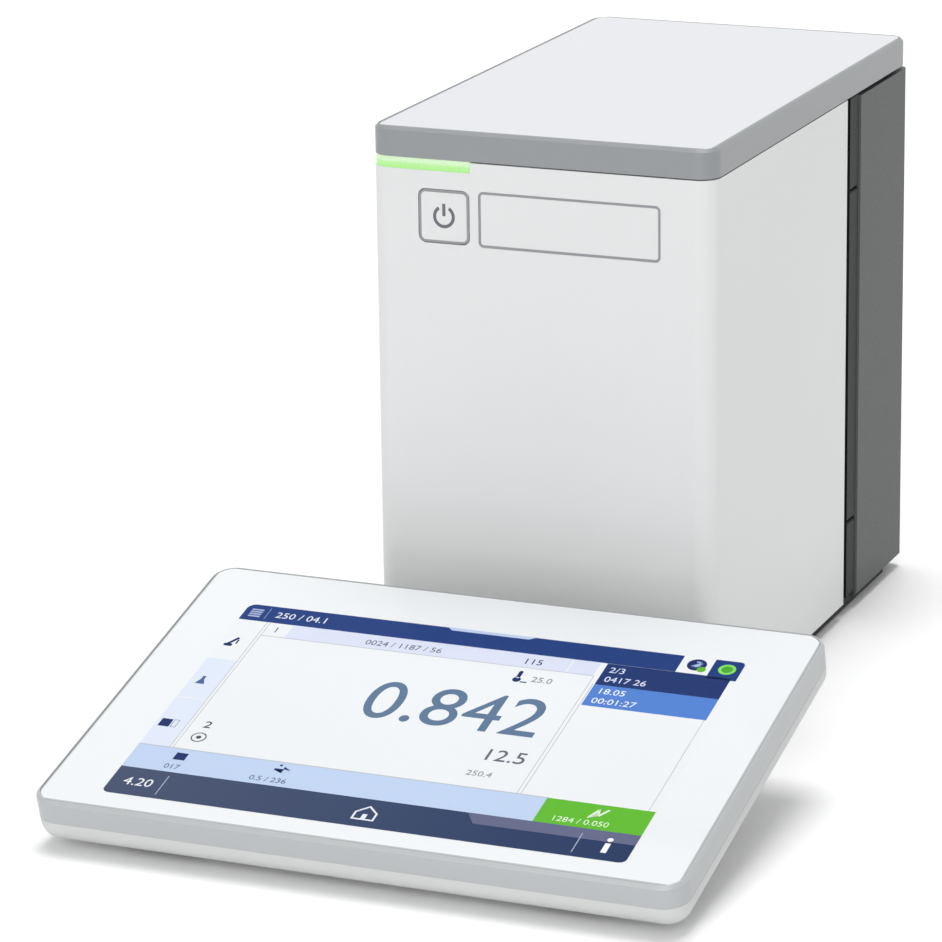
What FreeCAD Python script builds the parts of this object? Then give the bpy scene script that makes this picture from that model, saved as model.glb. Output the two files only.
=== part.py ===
"""Benchtop conductivity meter: a measuring tower, with a touch-screen terminal standing in front of it.

Millimetres. +X is to the right as the user sees it, +Y from front to rear, +Z up.
The origin lies on the bench, under the middle of the box that holds the whole instrument.
The tower is modelled with its front face at y = 0, and the terminal in a frame of its own
(x across, y back along the glass, z out of the glass), and both are then put in place.
"""

import FreeCAD, Part
import math
import os

V = FreeCAD.Vector
X_DIR = V(1, 0, 0)
Y_DIR = V(0, 1, 0)
Z_DIR = V(0, 0, 1)

# Tower outside
TOWER_W = 108.7
TOWER_D = 187.2
TOWER_H = 180.1
TOWER_R = 6.3
WALL = 2.5
HOUSING_D = 124.0
HOUSING_Z = 5.0
SEAM = 0.4
RIB_T = 1.5
SIDE_RIBS = 3
SIDE_RIB_Y = 37.2
SIDE_RIB_PITCH = 31.0
FIT = 0.1

# Top band, top plate and the lid frame under them
BAND_H = 8.8
BAND_T = 3.0
BAND_BEVEL = 0.9
PLATE_T = 2.0
PLATE_BEVEL = 0.2
LID_FLOOR_T = 2.0
LID_SKIRT_T = 1.6
LID_SKIRT_DROP = 5.3
LID_BOSS_H = 12.1

# Power button, name plate and light strip on the front
BUTTON_X = -30.4
BUTTON_DROP = 26.0
BUTTON_HOLE = 16.5
BUTTON_R = 2.4
BUTTON_GAP = 0.3
BUTTON_BEVEL = 0.2
BUTTON_TRAVEL = 0.8
FLANGE_T = 1.0
FLANGE_LIP = 1.0
COLLAR_T = 1.2
COLLAR_D = 5.0
STEM_R = 2.0
NAME_X = 9.25
NAME_W = 57.1
NAME_H = 16.7
NAME_R = 1.6
NAME_DEPTH = 0.6
NAME_PIN_R = 1.0
NAME_PIN_OFFSET = 22.8
LIGHT_H = 3.4
LIGHT_END_X = -22.0
LIGHT_INSET = 0.15

# Board behind the front wall
FRONT_BOARD_W = 38.0
FRONT_BOARD_H = 33.0
FRONT_BOARD_LEFT = 15.2
BOARD_T = 1.6
BOARD_R = 1.0
SWITCH_SIZE = 6.0
SWITCH_D = 3.5
SWITCH_R = 0.5
SWITCH_FLOOR_T = 1.0
PLUNGER_R = 1.6
PLUNGER_FIT = 0.1
LED_W = 2.0
LED_T = 1.0
LED_R = 0.3
LED_COUNT = 5
LED_PITCH = 4.5

# Chassis and base tray
CHASSIS_GAP = 1.0
CHASSIS_T = 2.0
CHASSIS_Y = 12.0
CHASSIS_REAR_GAP = 1.5
COLUMN_R = 3.5
COLUMN_INSET = 8.85
COLUMN_WEB_T = 3.6
TAB_L = 14.0
TAB_Y = 30.0
TAB_PITCH = 100.0
BASE_Z = 0.8
BASE_T = 5.2
BASE_WALL = 3.0
BASE_FLOOR_T = 2.7
BASE_INNER_R = 1.0
BASE_POST_R = 4.5
BASE_RIB_T = 2.0
BASE_RIB_X = 18.0
BASE_REAR_INSET = 10.0
COVER_SCREW_INSET_X = 3.4
COVER_SCREW_INSET_Z = 5.6
SIDE_WINDOW_L = 25.7
SIDE_WINDOW_R = 4.0
SIDE_WINDOW_Y = 25.7
SIDE_WINDOW_PITCH_Y = 32.5
SIDE_WINDOW_Z = 28.0
SIDE_WINDOW_BAR_Z = 18.5
SIDE_WINDOW_DROP = 16.5
SIDE_WINDOW_COLUMNS = 3
SIDE_WINDOW_ROWS = 2
BASE_SCREW_INSET_X = 22.0
BASE_SCREW_INSET_Y = 36.0
FOOT_R = 7.0
FOOT_SINK = 1.0
FOOT_INSET = 14.0

# Side strips between the white housing and the rear cover
GROOVE = 3.7
STRIP_W = 8.8
STRIP_RECESS = 1.5
STRIP_SEAM = 0.6
STRIP_SEAM_LOW = 31.3
STRIP_SEAM_DROP = 39.4
STRIP_BEVEL = 0.5

# Rear cover and rear panel
COVER_PROUD = 0.2
COVER_T = 2.2
COVER_R = 3.5
COVER_Z = 4.0
COVER_TOP_GAP = 1.3
COVER_BEVEL = 0.7
WINDOW_W = 84.4
WINDOW_Z0 = 16.8
WINDOW_DROP = 26.9
WINDOW_R = 2.0
LEDGE_W = 6.0
LEDGE_T = 2.0
PANEL_T = 2.2
PANEL_SINK = 1.9
PANEL_SCREW_INSET = 3.0

# Measuring modules on the rear panel
MODULE_X = -18.0
MODULE_W = 34.0
MODULE_MARGIN_TOP = 7.2
MODULE_MARGIN_LOW = 9.2
MODULE_SPACE = 4.0
MODULE_T = 1.5
MODULE_R = 1.5
MODULE_LAP = 1.0
MAIN_SOCKET_UP = 11.6
COND_CINCH_DOWN = 14.5
PH_ROW_DOWN = 12.8
PH_CINCH_RIGHT = 8.2
REFERENCE_LEFT = 6.8
MODULE_BOARD_L = 64.0
MODULE_BOARD_EDGE = 3.0
MODULE_BOARD_INSET = 2.4
MODULE_NOTCH_L = 8.0
MODULE_NOTCH_H = 16.0

# Sockets
BNC_R = 4.8
BNC_BORE_R = 3.6
BNC_L = 10.0
BNC_LUG_R = 1.0
BNC_LUG_H = 0.7
BNC_LUG_SETBACK = 3.5
BNC_PIN_R = 1.05
BNC_PIN_L = 7.0
NUT_R = 7.0
NUT_T = 2.0
CINCH_R = 4.15
CINCH_BORE_R = 1.9
CINCH_L = 9.0
CINCH_FLANGE_R = 5.5
CINCH_FLANGE_T = 1.2
REF_COLLAR_R = 5.0
REF_BODY_R = 3.0
REF_BORE_R = 2.05
REF_L = 3.0
REF_DEPTH = 12.0
ROUND_R = 6.6
ROUND_BORE_R = 4.75
ROUND_L = 3.0
ROUND_DEPTH = 8.0
COND_R = 7.5
COND_BODY_R = 6.6
COND_BORE_R = 5.6
COND_GROOVE_W = 1.0
COND_GROOVE_D = 0.5
COND_GROOVE_SETBACK = 2.4
COND_L = 6.0
COND_DEPTH = 9.0
BACK_L = 8.0
PORT_X = 18.5
PORT_PITCH_X = 17.0
PORT_TOP_DROP = 20.2
PORT_LOW_RISE = 24.2
USB_HOST_SHARE = 0.228
USB_DEVICE_SHARE = 0.435
LAN_SHARE = 0.7065
USB_HOST_W = 14.4
USB_HOST_H = 7.0
USB_HOST_HOLE_W = 12.6
USB_HOST_HOLE_H = 5.2
USB_DEVICE_W = 12.0
USB_DEVICE_H = 10.9
USB_DEVICE_HOLE_W = 8.6
USB_DEVICE_HOLE_H = 7.9
LAN_W = 15.8
LAN_H = 13.2
LAN_HOLE_W = 11.8
LAN_HOLE_H = 8.2
LAN_KEY_W = 6.0
LAN_KEY_H = 1.5
SOCKET_LIP = 0.6
SOCKET_POCKET = 11.0
DC_W = 14.0
DC_H = 11.0
DC_CORNER_R = 1.0
DC_BORE_R = 3.0
DC_BORE_DEPTH = 9.0
PORT_BOARD_Y = 13.9
PORT_BOARD_W = 33.0
PORT_BOARD_EDGE = 4.0

# Main board on the chassis floor
MAIN_W = 80.0
MAIN_REAR_GAP = 35.3
MAIN_Y = 28.0
MAIN_R = 2.0
SPACER_R = 3.0
SPACER_H = 5.0
MAIN_HOLE_INSET = 5.0
SINK_Y = 42.0
SINK_SIZE = 32.0
SINK_PAD = 16.0
SINK_PAD_T = 1.2
SINK_BASE_T = 2.0
SINK_FIN_T = 1.4
SINK_FIN_H = 9.0
SINK_FINS = 7

# Pan-head screws
SCREW_HEAD_R = 2.75
SCREW_HEAD_H = 1.5
SCREW_R = 1.45
SCREW_L = 9.0
SCREW_BEVEL = 0.4
SCREW_SINK = 0.6
SCREW_CLEAR = 0.25

# Terminal
TERM_X = 1.85
TERM_Y = -147.9
TERM_Z = 15.55
TILT = 14.2
GLASS_W = 191.5
GLASS_D = 126.0
GLASS_R = 6.0
GLASS_T = 1.1
GLASS_BEVEL = 0.25
GLASS_GAP = 0.1
RIM = 1.25
RIM_BEVEL = 0.85
FRAME_H = 6.83
FRAME_T = 2.6
GLASS_LEDGE = 4.0
GLASS_LEDGE_T = 1.6
SHELL_BOTTOM = 14.6
SHELL_ROUND = 5.9
SHELL_WALL = 2.0
SHELL_EDGE = 0.25
SHELL_LIP_T = 1.2
SHELL_LIP_H = 1.5
LIP_FOOT_H = 1.5
DISPLAY_BORDER_X = 15.25
DISPLAY_Y0 = 4.5
DISPLAY_Y1 = 110.5
DISPLAY_T = 5.0
DISPLAY_STEP = 1.2
DISPLAY_R = 1.0
TERM_BOARD_W = 92.0
TERM_BOARD_Y0 = 18.0
TERM_BOARD_Y1 = 98.0
TERM_BOARD_DROP = 7.7
TERM_BOSS_R = 2.8
TERM_SCREW_HEAD_H = 1.3
TERM_SCREW_R = 1.2
TERM_SCREW_HEAD_R = 2.2
TERM_SCREW_SINK = 0.5
TERM_SCREW_BITE = 3.0
TERM_HOLE_INSET = 5.0
BUZZER_R = 7.0
BUZZER_T = 3.0
BUZZER_HOLE_R = 1.2
BUZZER_HOLE_D = 1.2
BUZZER_INSET = 16.0
BUZZER_Y = 40.0
BAY_W = 18.0
BAY_Y = 112.0
BAY_ROOF = 8.8
PORT_W = 10.4
PORT_H = 5.0
PORT_L = 11.0
PORT_SLOT_W = 8.2
PORT_SLOT_H = 3.2
PORT_FLOOR_T = 4.0

# Fold-out feet and front pads of the terminal
LEG_INSET = 33.75
LEG_Y = 111.0
LEG_W = 14.0
LEG_T = 5.0
LEG_DROP = 11.7
LEG_GAP = 0.6
LEG_TIP_CUT = 6.0
LEG_EDGE_W = 2.0
LEG_RELIEF = 1.5
LEG_RIB_W = 2.0
SPIGOT_INSET = 2.0
SPIGOT_T = 2.4
SPIGOT_L = 2.5
SHOE_R = 1.0
LEG_PIN_R = 1.5
LEG_PIN_FIT = 0.06
LEG_PIN_HOLD = 3.5
POCKET_WALL = 1.5
POCKET_ROOF = 8.7
POCKET_R = 1.0
EAR_WALL = 0.5
PAD_W = 24.0
PAD_D = 6.0
PAD_Y = 11.0
PAD_SINK = 0.5
CORNER_SCREW_INSET = 9.75
CORNER_SCREW_Y = 11.0
LUG_R = 3.0
LUG_H = 4.6
LUG_ARM_W = 3.6
SHELL_BOSS_R = 3.5

# A cutter runs past the face that it cuts by OVER, and right through the object by BIG
OVER = 1.0
BIG = 400.0
TINY = 1e-6
CORNER_MIN = 0.5

# Places and sizes that follow from those above
BAND_Z = TOWER_H - BAND_H
LID_FLOOR_Z = TOWER_H - PLATE_T - LID_FLOOR_T
HOUSING_TOP = BAND_Z - SEAM
CHASSIS_TOP = LID_FLOOR_Z - LID_BOSS_H
BUTTON_Z = TOWER_H - BUTTON_DROP
STRIP_SEAM_HIGH = TOWER_H - STRIP_SEAM_DROP
WINDOW_Z1 = TOWER_H - WINDOW_DROP
HALF_W = TOWER_W / 2
INNER_X = HALF_W - WALL
CHASSIS_X = INNER_X - CHASSIS_GAP
FLOOR_Z = BASE_Z + BASE_T
SIDE_WINDOW_SPAN_Z = CHASSIS_TOP - SIDE_WINDOW_DROP - SIDE_WINDOW_Z + SIDE_WINDOW_BAR_Z
SIDE_WINDOW_H = SIDE_WINDOW_SPAN_Z / SIDE_WINDOW_ROWS - SIDE_WINDOW_BAR_Z
COVER_Y0 = HOUSING_D + GROOVE + STRIP_W
COVER_Y1 = TOWER_D - COVER_PROUD
COVER_X = HALF_W + COVER_PROUD
CHASSIS_Y1 = COVER_Y1 - COVER_T - CHASSIS_REAR_GAP
MAIN_L = CHASSIS_Y1 - MAIN_REAR_GAP - MAIN_Y
PANEL_Y = COVER_Y1 - PANEL_SINK
PANEL_Z0 = WINDOW_Z0 + FIT
PANEL_Z1 = WINDOW_Z1 - FIT
MODULE_Y = PANEL_Y + MODULE_T
MODULE_ROOM = WINDOW_Z1 - WINDOW_Z0 - MODULE_MARGIN_TOP - MODULE_MARGIN_LOW
MODULE_H = (MODULE_ROOM - MODULE_SPACE) / 2
MODULE_BOARD_H = MODULE_H - 2 * MODULE_BOARD_EDGE
COND_Z = WINDOW_Z1 - MODULE_MARGIN_TOP - MODULE_H / 2
PH_Z = WINDOW_Z0 + MODULE_MARGIN_LOW + MODULE_H / 2
PORT_TOP_Z = WINDOW_Z1 - PORT_TOP_DROP
DC_Z = WINDOW_Z0 + PORT_LOW_RISE
PORT_SPAN_Z = PORT_TOP_Z - DC_Z
USB_HOST_Z = PORT_TOP_Z - PORT_SPAN_Z * USB_HOST_SHARE
USB_DEVICE_Z = PORT_TOP_Z - PORT_SPAN_Z * USB_DEVICE_SHARE
LAN_Z = PORT_TOP_Z - PORT_SPAN_Z * LAN_SHARE
BOARD_FRONT_Y = CHASSIS_Y - BOARD_T
LIGHT_Z1 = BAND_Z - LIGHT_INSET
LIGHT_Z0 = LIGHT_Z1 - LIGHT_H
PORT_BOARD_REAR = PANEL_Y - PORT_BOARD_Y
REAR_Y = max(MODULE_Y + BNC_L, MODULE_Y + CINCH_L)
BUZZER_X = TERM_BOARD_W / 2 - BUZZER_INSET
DISPLAY_W = GLASS_W - 2 * DISPLAY_BORDER_X
LEG_X = GLASS_W / 2 - LEG_INSET
CORNER_SCREW_X = GLASS_W / 2 - CORNER_SCREW_INSET


def block(x0, x1, y0, y1, z0, z1, front_r=0.0, rear_r=None):
    """A box whose upright edges may be rounded, at the front and at the rear."""
    rear_r = front_r if rear_r is None else rear_r
    corners = (
        (x0 + front_r, y0 + front_r, front_r, 180),
        (x1 - front_r, y0 + front_r, front_r, 270),
        (x1 - rear_r, y1 - rear_r, rear_r, 0),
        (x0 + rear_r, y1 - rear_r, rear_r, 90),
    )
    edges = []
    points = []
    for x, y, r, start in corners:
        for angle in (start, start + 90):
            turn = math.radians(angle)
            points.append(V(x + r * math.cos(turn), y + r * math.sin(turn), z0))
        if r > 0:
            edges.append(Part.makeCircle(r, V(x, y, z0), Z_DIR, start, start + 90))
    for end, begin in zip(points[1::2], points[2::2] + points[:1]):
        if end.distanceToPoint(begin) > TINY:
            edges.append(Part.makeLine(end, begin))
    wire = Part.Wire(Part.__sortEdges__(edges))
    return Part.Face(wire).extrude(V(0, 0, z1 - z0))


def upright(x0, x1, y0, y1, z0, z1, r=0.0):
    """A box whose edges along Y may be rounded."""
    shape = block(x0, x1, z0, z1, -y1, -y0, r)
    shape.rotate(V(0, 0, 0), X_DIR, 90)
    return shape


def centred(x, z, w, h, y0, y1, r=0.0):
    """An upright box by its middle, width and height."""
    return upright(x - w / 2, x + w / 2, y0, y1, z - h / 2, z + h / 2, r)


def rod(x, y, z, r, length, direction=Z_DIR):
    return Part.makeCylinder(r, length, V(x, y, z), direction)


def tube(x, y, z, r, bore, length, direction=Z_DIR):
    return rod(x, y, z, r, length, direction).cut(rod(x, y, z, bore, length, direction))


def join(first, *others):
    return first.fuse(list(others)).removeSplitter() if others else first


def group(solids):
    return Part.makeCompound(solids)


def tower_block(inset, y1, z0, z1, rear_r=0.0):
    """A block that follows the tower's outline at an inset, rounded at the front corners."""
    radius = max(TOWER_R - inset, CORNER_MIN)
    return block(-HALF_W + inset, HALF_W - inset, inset, y1, z0, z1, radius, rear_r)


def screw(x, y, z, length, direction, head_r=SCREW_HEAD_R, head_h=SCREW_HEAD_H, shank_r=SCREW_R):
    """A pan-head screw whose head seats at the given point, its shank along the direction."""
    seat = V(x, y, z)
    out = direction * -1
    head = Part.makeCylinder(head_r, head_h, seat, out)
    rim = [e for e in head.Edges if abs((e.CenterOfMass - seat).dot(out) - head_h) < TINY]
    head = head.makeChamfer(SCREW_BEVEL, rim)
    shank = Part.makeCylinder(shank_r, length, seat, direction)
    return join(head, shank)


def lid_columns():
    inset = COLUMN_INSET
    front = CHASSIS_Y + inset - CHASSIS_T
    rear = CHASSIS_Y1 - inset
    return [(sx * (HALF_W - inset), y) for sx in (-1, 1) for y in (front, rear)]


def cover_screw_places():
    low = FLOOR_Z + COVER_SCREW_INSET_Z
    high = CHASSIS_TOP - COVER_SCREW_INSET_Z
    return [(sx * (CHASSIS_X - COVER_SCREW_INSET_X), z) for sx in (-1, 1) for z in (low, high)]


def base_screw_places():
    near = CHASSIS_Y + BASE_SCREW_INSET_Y
    far = CHASSIS_Y1 - BASE_SCREW_INSET_Y
    return [(sx * (HALF_W - BASE_SCREW_INSET_X), y) for sx in (-1, 1) for y in (near, far)]


def foot_places():
    rear = TOWER_D - BASE_REAR_INSET - FOOT_INSET
    return [(sx * (HALF_W - FOOT_INSET), y) for sx in (-1, 1) for y in (FOOT_INSET, rear)]


def panel_screw_places():
    x = WINDOW_W / 2 - PANEL_SCREW_INSET
    return [
        (sx * x, z)
        for sx in (-1, 1)
        for z in (WINDOW_Z0 + PANEL_SCREW_INSET, WINDOW_Z1 - PANEL_SCREW_INSET)
    ]


def main_holes():
    x = MAIN_W / 2 - MAIN_HOLE_INSET
    near = MAIN_Y + MAIN_HOLE_INSET
    far = MAIN_Y + MAIN_L - MAIN_HOLE_INSET
    return [(sx * x, y) for sx in (-1, 1) for y in (near, far)]


# Tower, front and sides


def make_housing():
    """White front and side walls in one moulding, with the button collar and inner ribs."""
    outer = tower_block(0, HOUSING_D, HOUSING_Z, HOUSING_TOP)
    cavity = tower_block(WALL, HOUSING_D + OVER, HOUSING_Z - OVER, HOUSING_TOP + OVER)
    shell = outer.cut(cavity)
    collar_in = BUTTON_HOLE + 2 * FLANGE_LIP + 2 * BUTTON_GAP
    collar_out = collar_in + 2 * COLLAR_T
    collar_r = BUTTON_R + FLANGE_LIP
    collar_y = WALL + COLLAR_D
    extras = [centred(BUTTON_X, BUTTON_Z, collar_out, collar_out, WALL, collar_y, collar_r)]
    rib_top = BUTTON_Z - collar_out
    for x in (-INNER_X / 2, 0.0, INNER_X / 2):
        extras.append(block(x - RIB_T / 2, x + RIB_T / 2, WALL, CHASSIS_Y, FLOOR_Z, rib_top))
    for sx in (-1, 1):
        low, high = sorted((sx * CHASSIS_X, sx * INNER_X))
        for i in range(SIDE_RIBS):
            y = SIDE_RIB_Y + SIDE_RIB_PITCH * i
            extras.append(block(low, high, y - RIB_T / 2, y + RIB_T / 2, FLOOR_Z, CHASSIS_TOP))
    shell = join(shell, *extras)
    name_depth = NAME_DEPTH + FIT
    cuts = [
        centred(BUTTON_X, BUTTON_Z, collar_in, collar_in, WALL, collar_y + OVER, collar_r),
        centred(BUTTON_X, BUTTON_Z, BUTTON_HOLE, BUTTON_HOLE, -OVER, WALL + OVER, BUTTON_R),
        centred(NAME_X, BUTTON_Z, NAME_W + 2 * FIT, NAME_H + 2 * FIT, -OVER, name_depth, NAME_R),
        block(-BIG, LIGHT_END_X + LIGHT_INSET, -OVER, TOWER_R + LIGHT_INSET, LIGHT_Z0, HOUSING_TOP + OVER),
    ]
    for x in name_pin_xs():
        cuts.append(rod(x, 0, BUTTON_Z, NAME_PIN_R + FIT, WALL + OVER, Y_DIR))
    return shell.cut(cuts)


def name_pin_xs():
    return NAME_X - NAME_PIN_OFFSET, NAME_X + NAME_PIN_OFFSET


def make_name_plate():
    """Bare plate that fills the framed field beside the button, with two locating pins."""
    plate = centred(NAME_X, BUTTON_Z, NAME_W, NAME_H, FIT, NAME_DEPTH + FIT, NAME_R)
    length = WALL - NAME_DEPTH
    pins = [rod(x, NAME_DEPTH, BUTTON_Z, NAME_PIN_R, length, Y_DIR) for x in name_pin_xs()]
    return join(plate, *pins)


def stem_end():
    """Depth of the button's stem end: clear of the switch when the button is pressed."""
    return BOARD_FRONT_Y - SWITCH_D - BUTTON_TRAVEL - 2 * PLUNGER_FIT


def make_power_button():
    """Flush square key with a retaining flange behind the wall and a stem to the switch."""
    size = BUTTON_HOLE - 2 * BUTTON_GAP
    flange = BUTTON_HOLE + 2 * FLANGE_LIP
    back = WALL + BUTTON_GAP + FLANGE_T
    cap = centred(BUTTON_X, BUTTON_Z, size, size, 0, back, BUTTON_R - BUTTON_GAP)
    rim = [e for e in cap.Edges if e.CenterOfMass.y < TINY]
    cap = cap.makeChamfer(BUTTON_BEVEL, rim)
    lip = centred(BUTTON_X, BUTTON_Z, flange, flange, back - FLANGE_T, back, BUTTON_R + FLANGE_LIP)
    stem = rod(BUTTON_X, back, BUTTON_Z, STEM_R, stem_end() - back, Y_DIR)
    return join(cap, lip, stem)


def make_power_switch():
    """Push switch on the front board, bored for its plunger."""
    y0 = BOARD_FRONT_Y - SWITCH_D
    body = centred(BUTTON_X, BUTTON_Z, SWITCH_SIZE, SWITCH_SIZE, y0, BOARD_FRONT_Y, SWITCH_R)
    depth = SWITCH_D - SWITCH_FLOOR_T
    bore = rod(BUTTON_X, y0 - OVER, BUTTON_Z, PLUNGER_R + PLUNGER_FIT, depth + OVER, Y_DIR)
    return body.cut(bore)


def make_switch_plunger():
    """Plunger that the stem pushes, short of the switch's floor by the travel."""
    start = stem_end()
    end = BOARD_FRONT_Y - SWITCH_FLOOR_T - BUTTON_TRAVEL - PLUNGER_FIT
    return rod(BUTTON_X, start, BUTTON_Z, PLUNGER_R, end - start, Y_DIR)


def make_front_board():
    """Small board on the chassis front, behind the button and the light strip."""
    x0 = BUTTON_X - FRONT_BOARD_LEFT
    z1 = HOUSING_TOP - SEAM
    return upright(x0, x0 + FRONT_BOARD_W, BOARD_FRONT_Y, CHASSIS_Y, z1 - FRONT_BOARD_H, z1, BOARD_R)


def led_places():
    x = LIGHT_END_X - LED_PITCH
    return [x - LED_PITCH * i for i in range(LED_COUNT)]


def make_front_leds():
    z = (LIGHT_Z0 + LIGHT_Z1) / 2
    y0 = BOARD_FRONT_Y - LED_T
    return group([centred(x, z, LED_W, LED_W, y0, BOARD_FRONT_Y, LED_R) for x in led_places()])


def make_light_guide():
    """Clear bar that fills the slot under the band and turns round the left corner."""
    wrap = tower_block(LIGHT_INSET, TOWER_R, LIGHT_Z0, LIGHT_Z1)
    wrap = wrap.cut(tower_block(WALL, TOWER_R + OVER, LIGHT_Z0 - OVER, LIGHT_Z1 + OVER))
    bar = wrap.common(block(-BIG, LIGHT_END_X, -OVER, TOWER_R, LIGHT_Z0, LIGHT_Z1))
    places = led_places()
    back = BOARD_FRONT_Y - LED_T - 2 * FIT
    tongue = block(places[-1] - LED_W, places[0] + LED_W, LIGHT_INSET, back, LIGHT_Z0, LIGHT_Z1)
    return join(bar, tongue)


# Tower, top


def make_top_band():
    """Satin metal frame round the top, bevelled at its upper outer edge, with a ledge for the plate."""
    band = tower_block(0, TOWER_D, BAND_Z, TOWER_H, TOWER_R)
    rim = [e for e in band.Edges if abs(e.CenterOfMass.z - TOWER_H) < TINY]
    band = band.makeChamfer(BAND_BEVEL, rim)
    inner_r = TOWER_R - BAND_T
    plate_z = LID_FLOOR_Z + LID_FLOOR_T
    well = tower_block(BAND_T, TOWER_D - BAND_T, BAND_Z - OVER, plate_z, inner_r)
    inset = BAND_BEVEL + 2 * FIT
    seat = tower_block(inset, TOWER_D - inset, plate_z, BIG, TOWER_R - inset)
    return band.cut([well, seat])


def make_top_plate():
    """White plate let into the band, flush with its top."""
    inset = BAND_BEVEL + 3 * FIT
    plate = tower_block(inset, TOWER_D - inset, TOWER_H - PLATE_T, TOWER_H, TOWER_R - inset)
    rim = [e for e in plate.Edges if abs(e.CenterOfMass.z - TOWER_H) < TINY]
    return plate.makeChamfer(PLATE_BEVEL, rim)


def make_lid_frame():
    """Black frame under the band and the plate, with a skirt and four screw bosses."""
    inset = BAND_T + FIT
    rear = TOWER_D - inset
    outer_r = TOWER_R - inset
    bottom = BAND_Z - LID_SKIRT_DROP
    body = tower_block(inset, rear, bottom, LID_FLOOR_Z + LID_FLOOR_T, outer_r)
    skirt = inset + LID_SKIRT_T
    hollow_r = max(outer_r - LID_SKIRT_T, CORNER_MIN)
    body = body.cut(tower_block(skirt, rear - LID_SKIRT_T, bottom - OVER, LID_FLOOR_Z, hollow_r))
    boss_l = LID_BOSS_H + LID_FLOOR_T / 2
    bosses = [rod(x, y, CHASSIS_TOP, COLUMN_R, boss_l) for x, y in lid_columns()]
    body = join(body, *bosses)
    cuts = [block(-BIG, LIGHT_END_X + OVER, -OVER, CHASSIS_Y, bottom - OVER, BAND_Z + FIT)]
    for x, y in lid_columns():
        cuts.append(rod(x, y, lid_screw_seat(), SCREW_HEAD_R + SCREW_CLEAR, BIG))
        cuts.append(rod(x, y, CHASSIS_TOP - OVER, SCREW_R + FIT, BIG))
    return body.cut(cuts)


def lid_screw_seat():
    return LID_FLOOR_Z + LID_FLOOR_T - SCREW_HEAD_H - FIT


def make_lid_screws():
    seat = lid_screw_seat()
    length = seat - CHASSIS_TOP + SCREW_L
    return group([screw(x, y, seat, length, Z_DIR * -1) for x, y in lid_columns()])


# Tower, frame and base


def make_chassis():
    """Dark floor and front wall in one moulding, slotted for the tabs of the side frames."""
    floor = block(-CHASSIS_X, CHASSIS_X, CHASSIS_Y, CHASSIS_Y1, FLOOR_Z, FLOOR_Z + CHASSIS_T)
    wall = block(-CHASSIS_X, CHASSIS_X, CHASSIS_Y, CHASSIS_Y + CHASSIS_T, FLOOR_Z, CHASSIS_TOP)
    cuts = []
    for x, y in base_screw_places():
        cuts.append(rod(x, y, FLOOR_Z - OVER, SCREW_R + FIT, CHASSIS_T + 2 * OVER))
    for side in (-1, 1):
        cuts += side_tabs(side, FIT)
    return join(floor, wall).cut(cuts)


def side_tabs(side, grow=0.0):
    """Tabs under a side frame, down through the chassis floor."""
    low, high = sorted((side * (CHASSIS_X - CHASSIS_T - grow), side * (CHASSIS_X + grow)))
    z0 = FLOOR_Z - grow
    tabs = []
    for y in (CHASSIS_Y + TAB_Y, CHASSIS_Y + TAB_Y + TAB_PITCH):
        tabs.append(block(low, high, y - grow, y + TAB_L + grow, z0, FLOOR_Z + CHASSIS_T + grow))
    return tabs


def make_side_frame(side):
    """Windowed side wall with two pillars for the lid and two lugs for the rear cover."""
    low, high = sorted((side * (CHASSIS_X - CHASSIS_T), side * CHASSIS_X))
    z0 = FLOOR_Z + CHASSIS_T
    height = CHASSIS_TOP - z0
    frame = block(low, high, CHASSIS_Y + CHASSIS_T, CHASSIS_Y1, z0, CHASSIS_TOP)
    bore = SCREW_R + FIT
    depth = SCREW_L + OVER
    extras = side_tabs(side)
    cuts = []
    for x, y in lid_columns():
        if x * side > 0:
            near, far = sorted((x, side * (CHASSIS_X - CHASSIS_T / 2)))
            half = COLUMN_WEB_T / 2
            extras.append(rod(x, y, z0, COLUMN_R, height))
            extras.append(block(near, far, y - half, y + half, z0, CHASSIS_TOP))
            cuts.append(rod(x, y, CHASSIS_TOP - depth, bore, depth + OVER))
    cover_y = COVER_Y1 - COVER_T
    lug_y = CHASSIS_Y1 - 2 * SCREW_L
    for x, z in cover_screw_places():
        if x * side > 0:
            extras.append(rod(x, lug_y, z, COLUMN_R, cover_y - lug_y, Y_DIR))
            cuts.append(rod(x, cover_y - depth, z, bore, depth + OVER, Y_DIR))
    for column in range(SIDE_WINDOW_COLUMNS):
        for row in range(SIDE_WINDOW_ROWS):
            y = SIDE_WINDOW_Y + SIDE_WINDOW_PITCH_Y * column
            z = SIDE_WINDOW_Z + (SIDE_WINDOW_H + SIDE_WINDOW_BAR_Z) * row
            cuts.append(side_window(y, z))
    return join(frame, *extras).cut(cuts)


def side_window(y, z):
    """Cutter for a rounded opening through a side frame."""
    half = SIDE_WINDOW_H / 2
    shape = block(-half, half, 0, SIDE_WINDOW_L, -BIG / 2, BIG / 2, SIDE_WINDOW_R)
    shape.rotate(V(0, 0, 0), Y_DIR, 90)
    shape.translate(V(0, y, z + half))
    return shape


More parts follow.
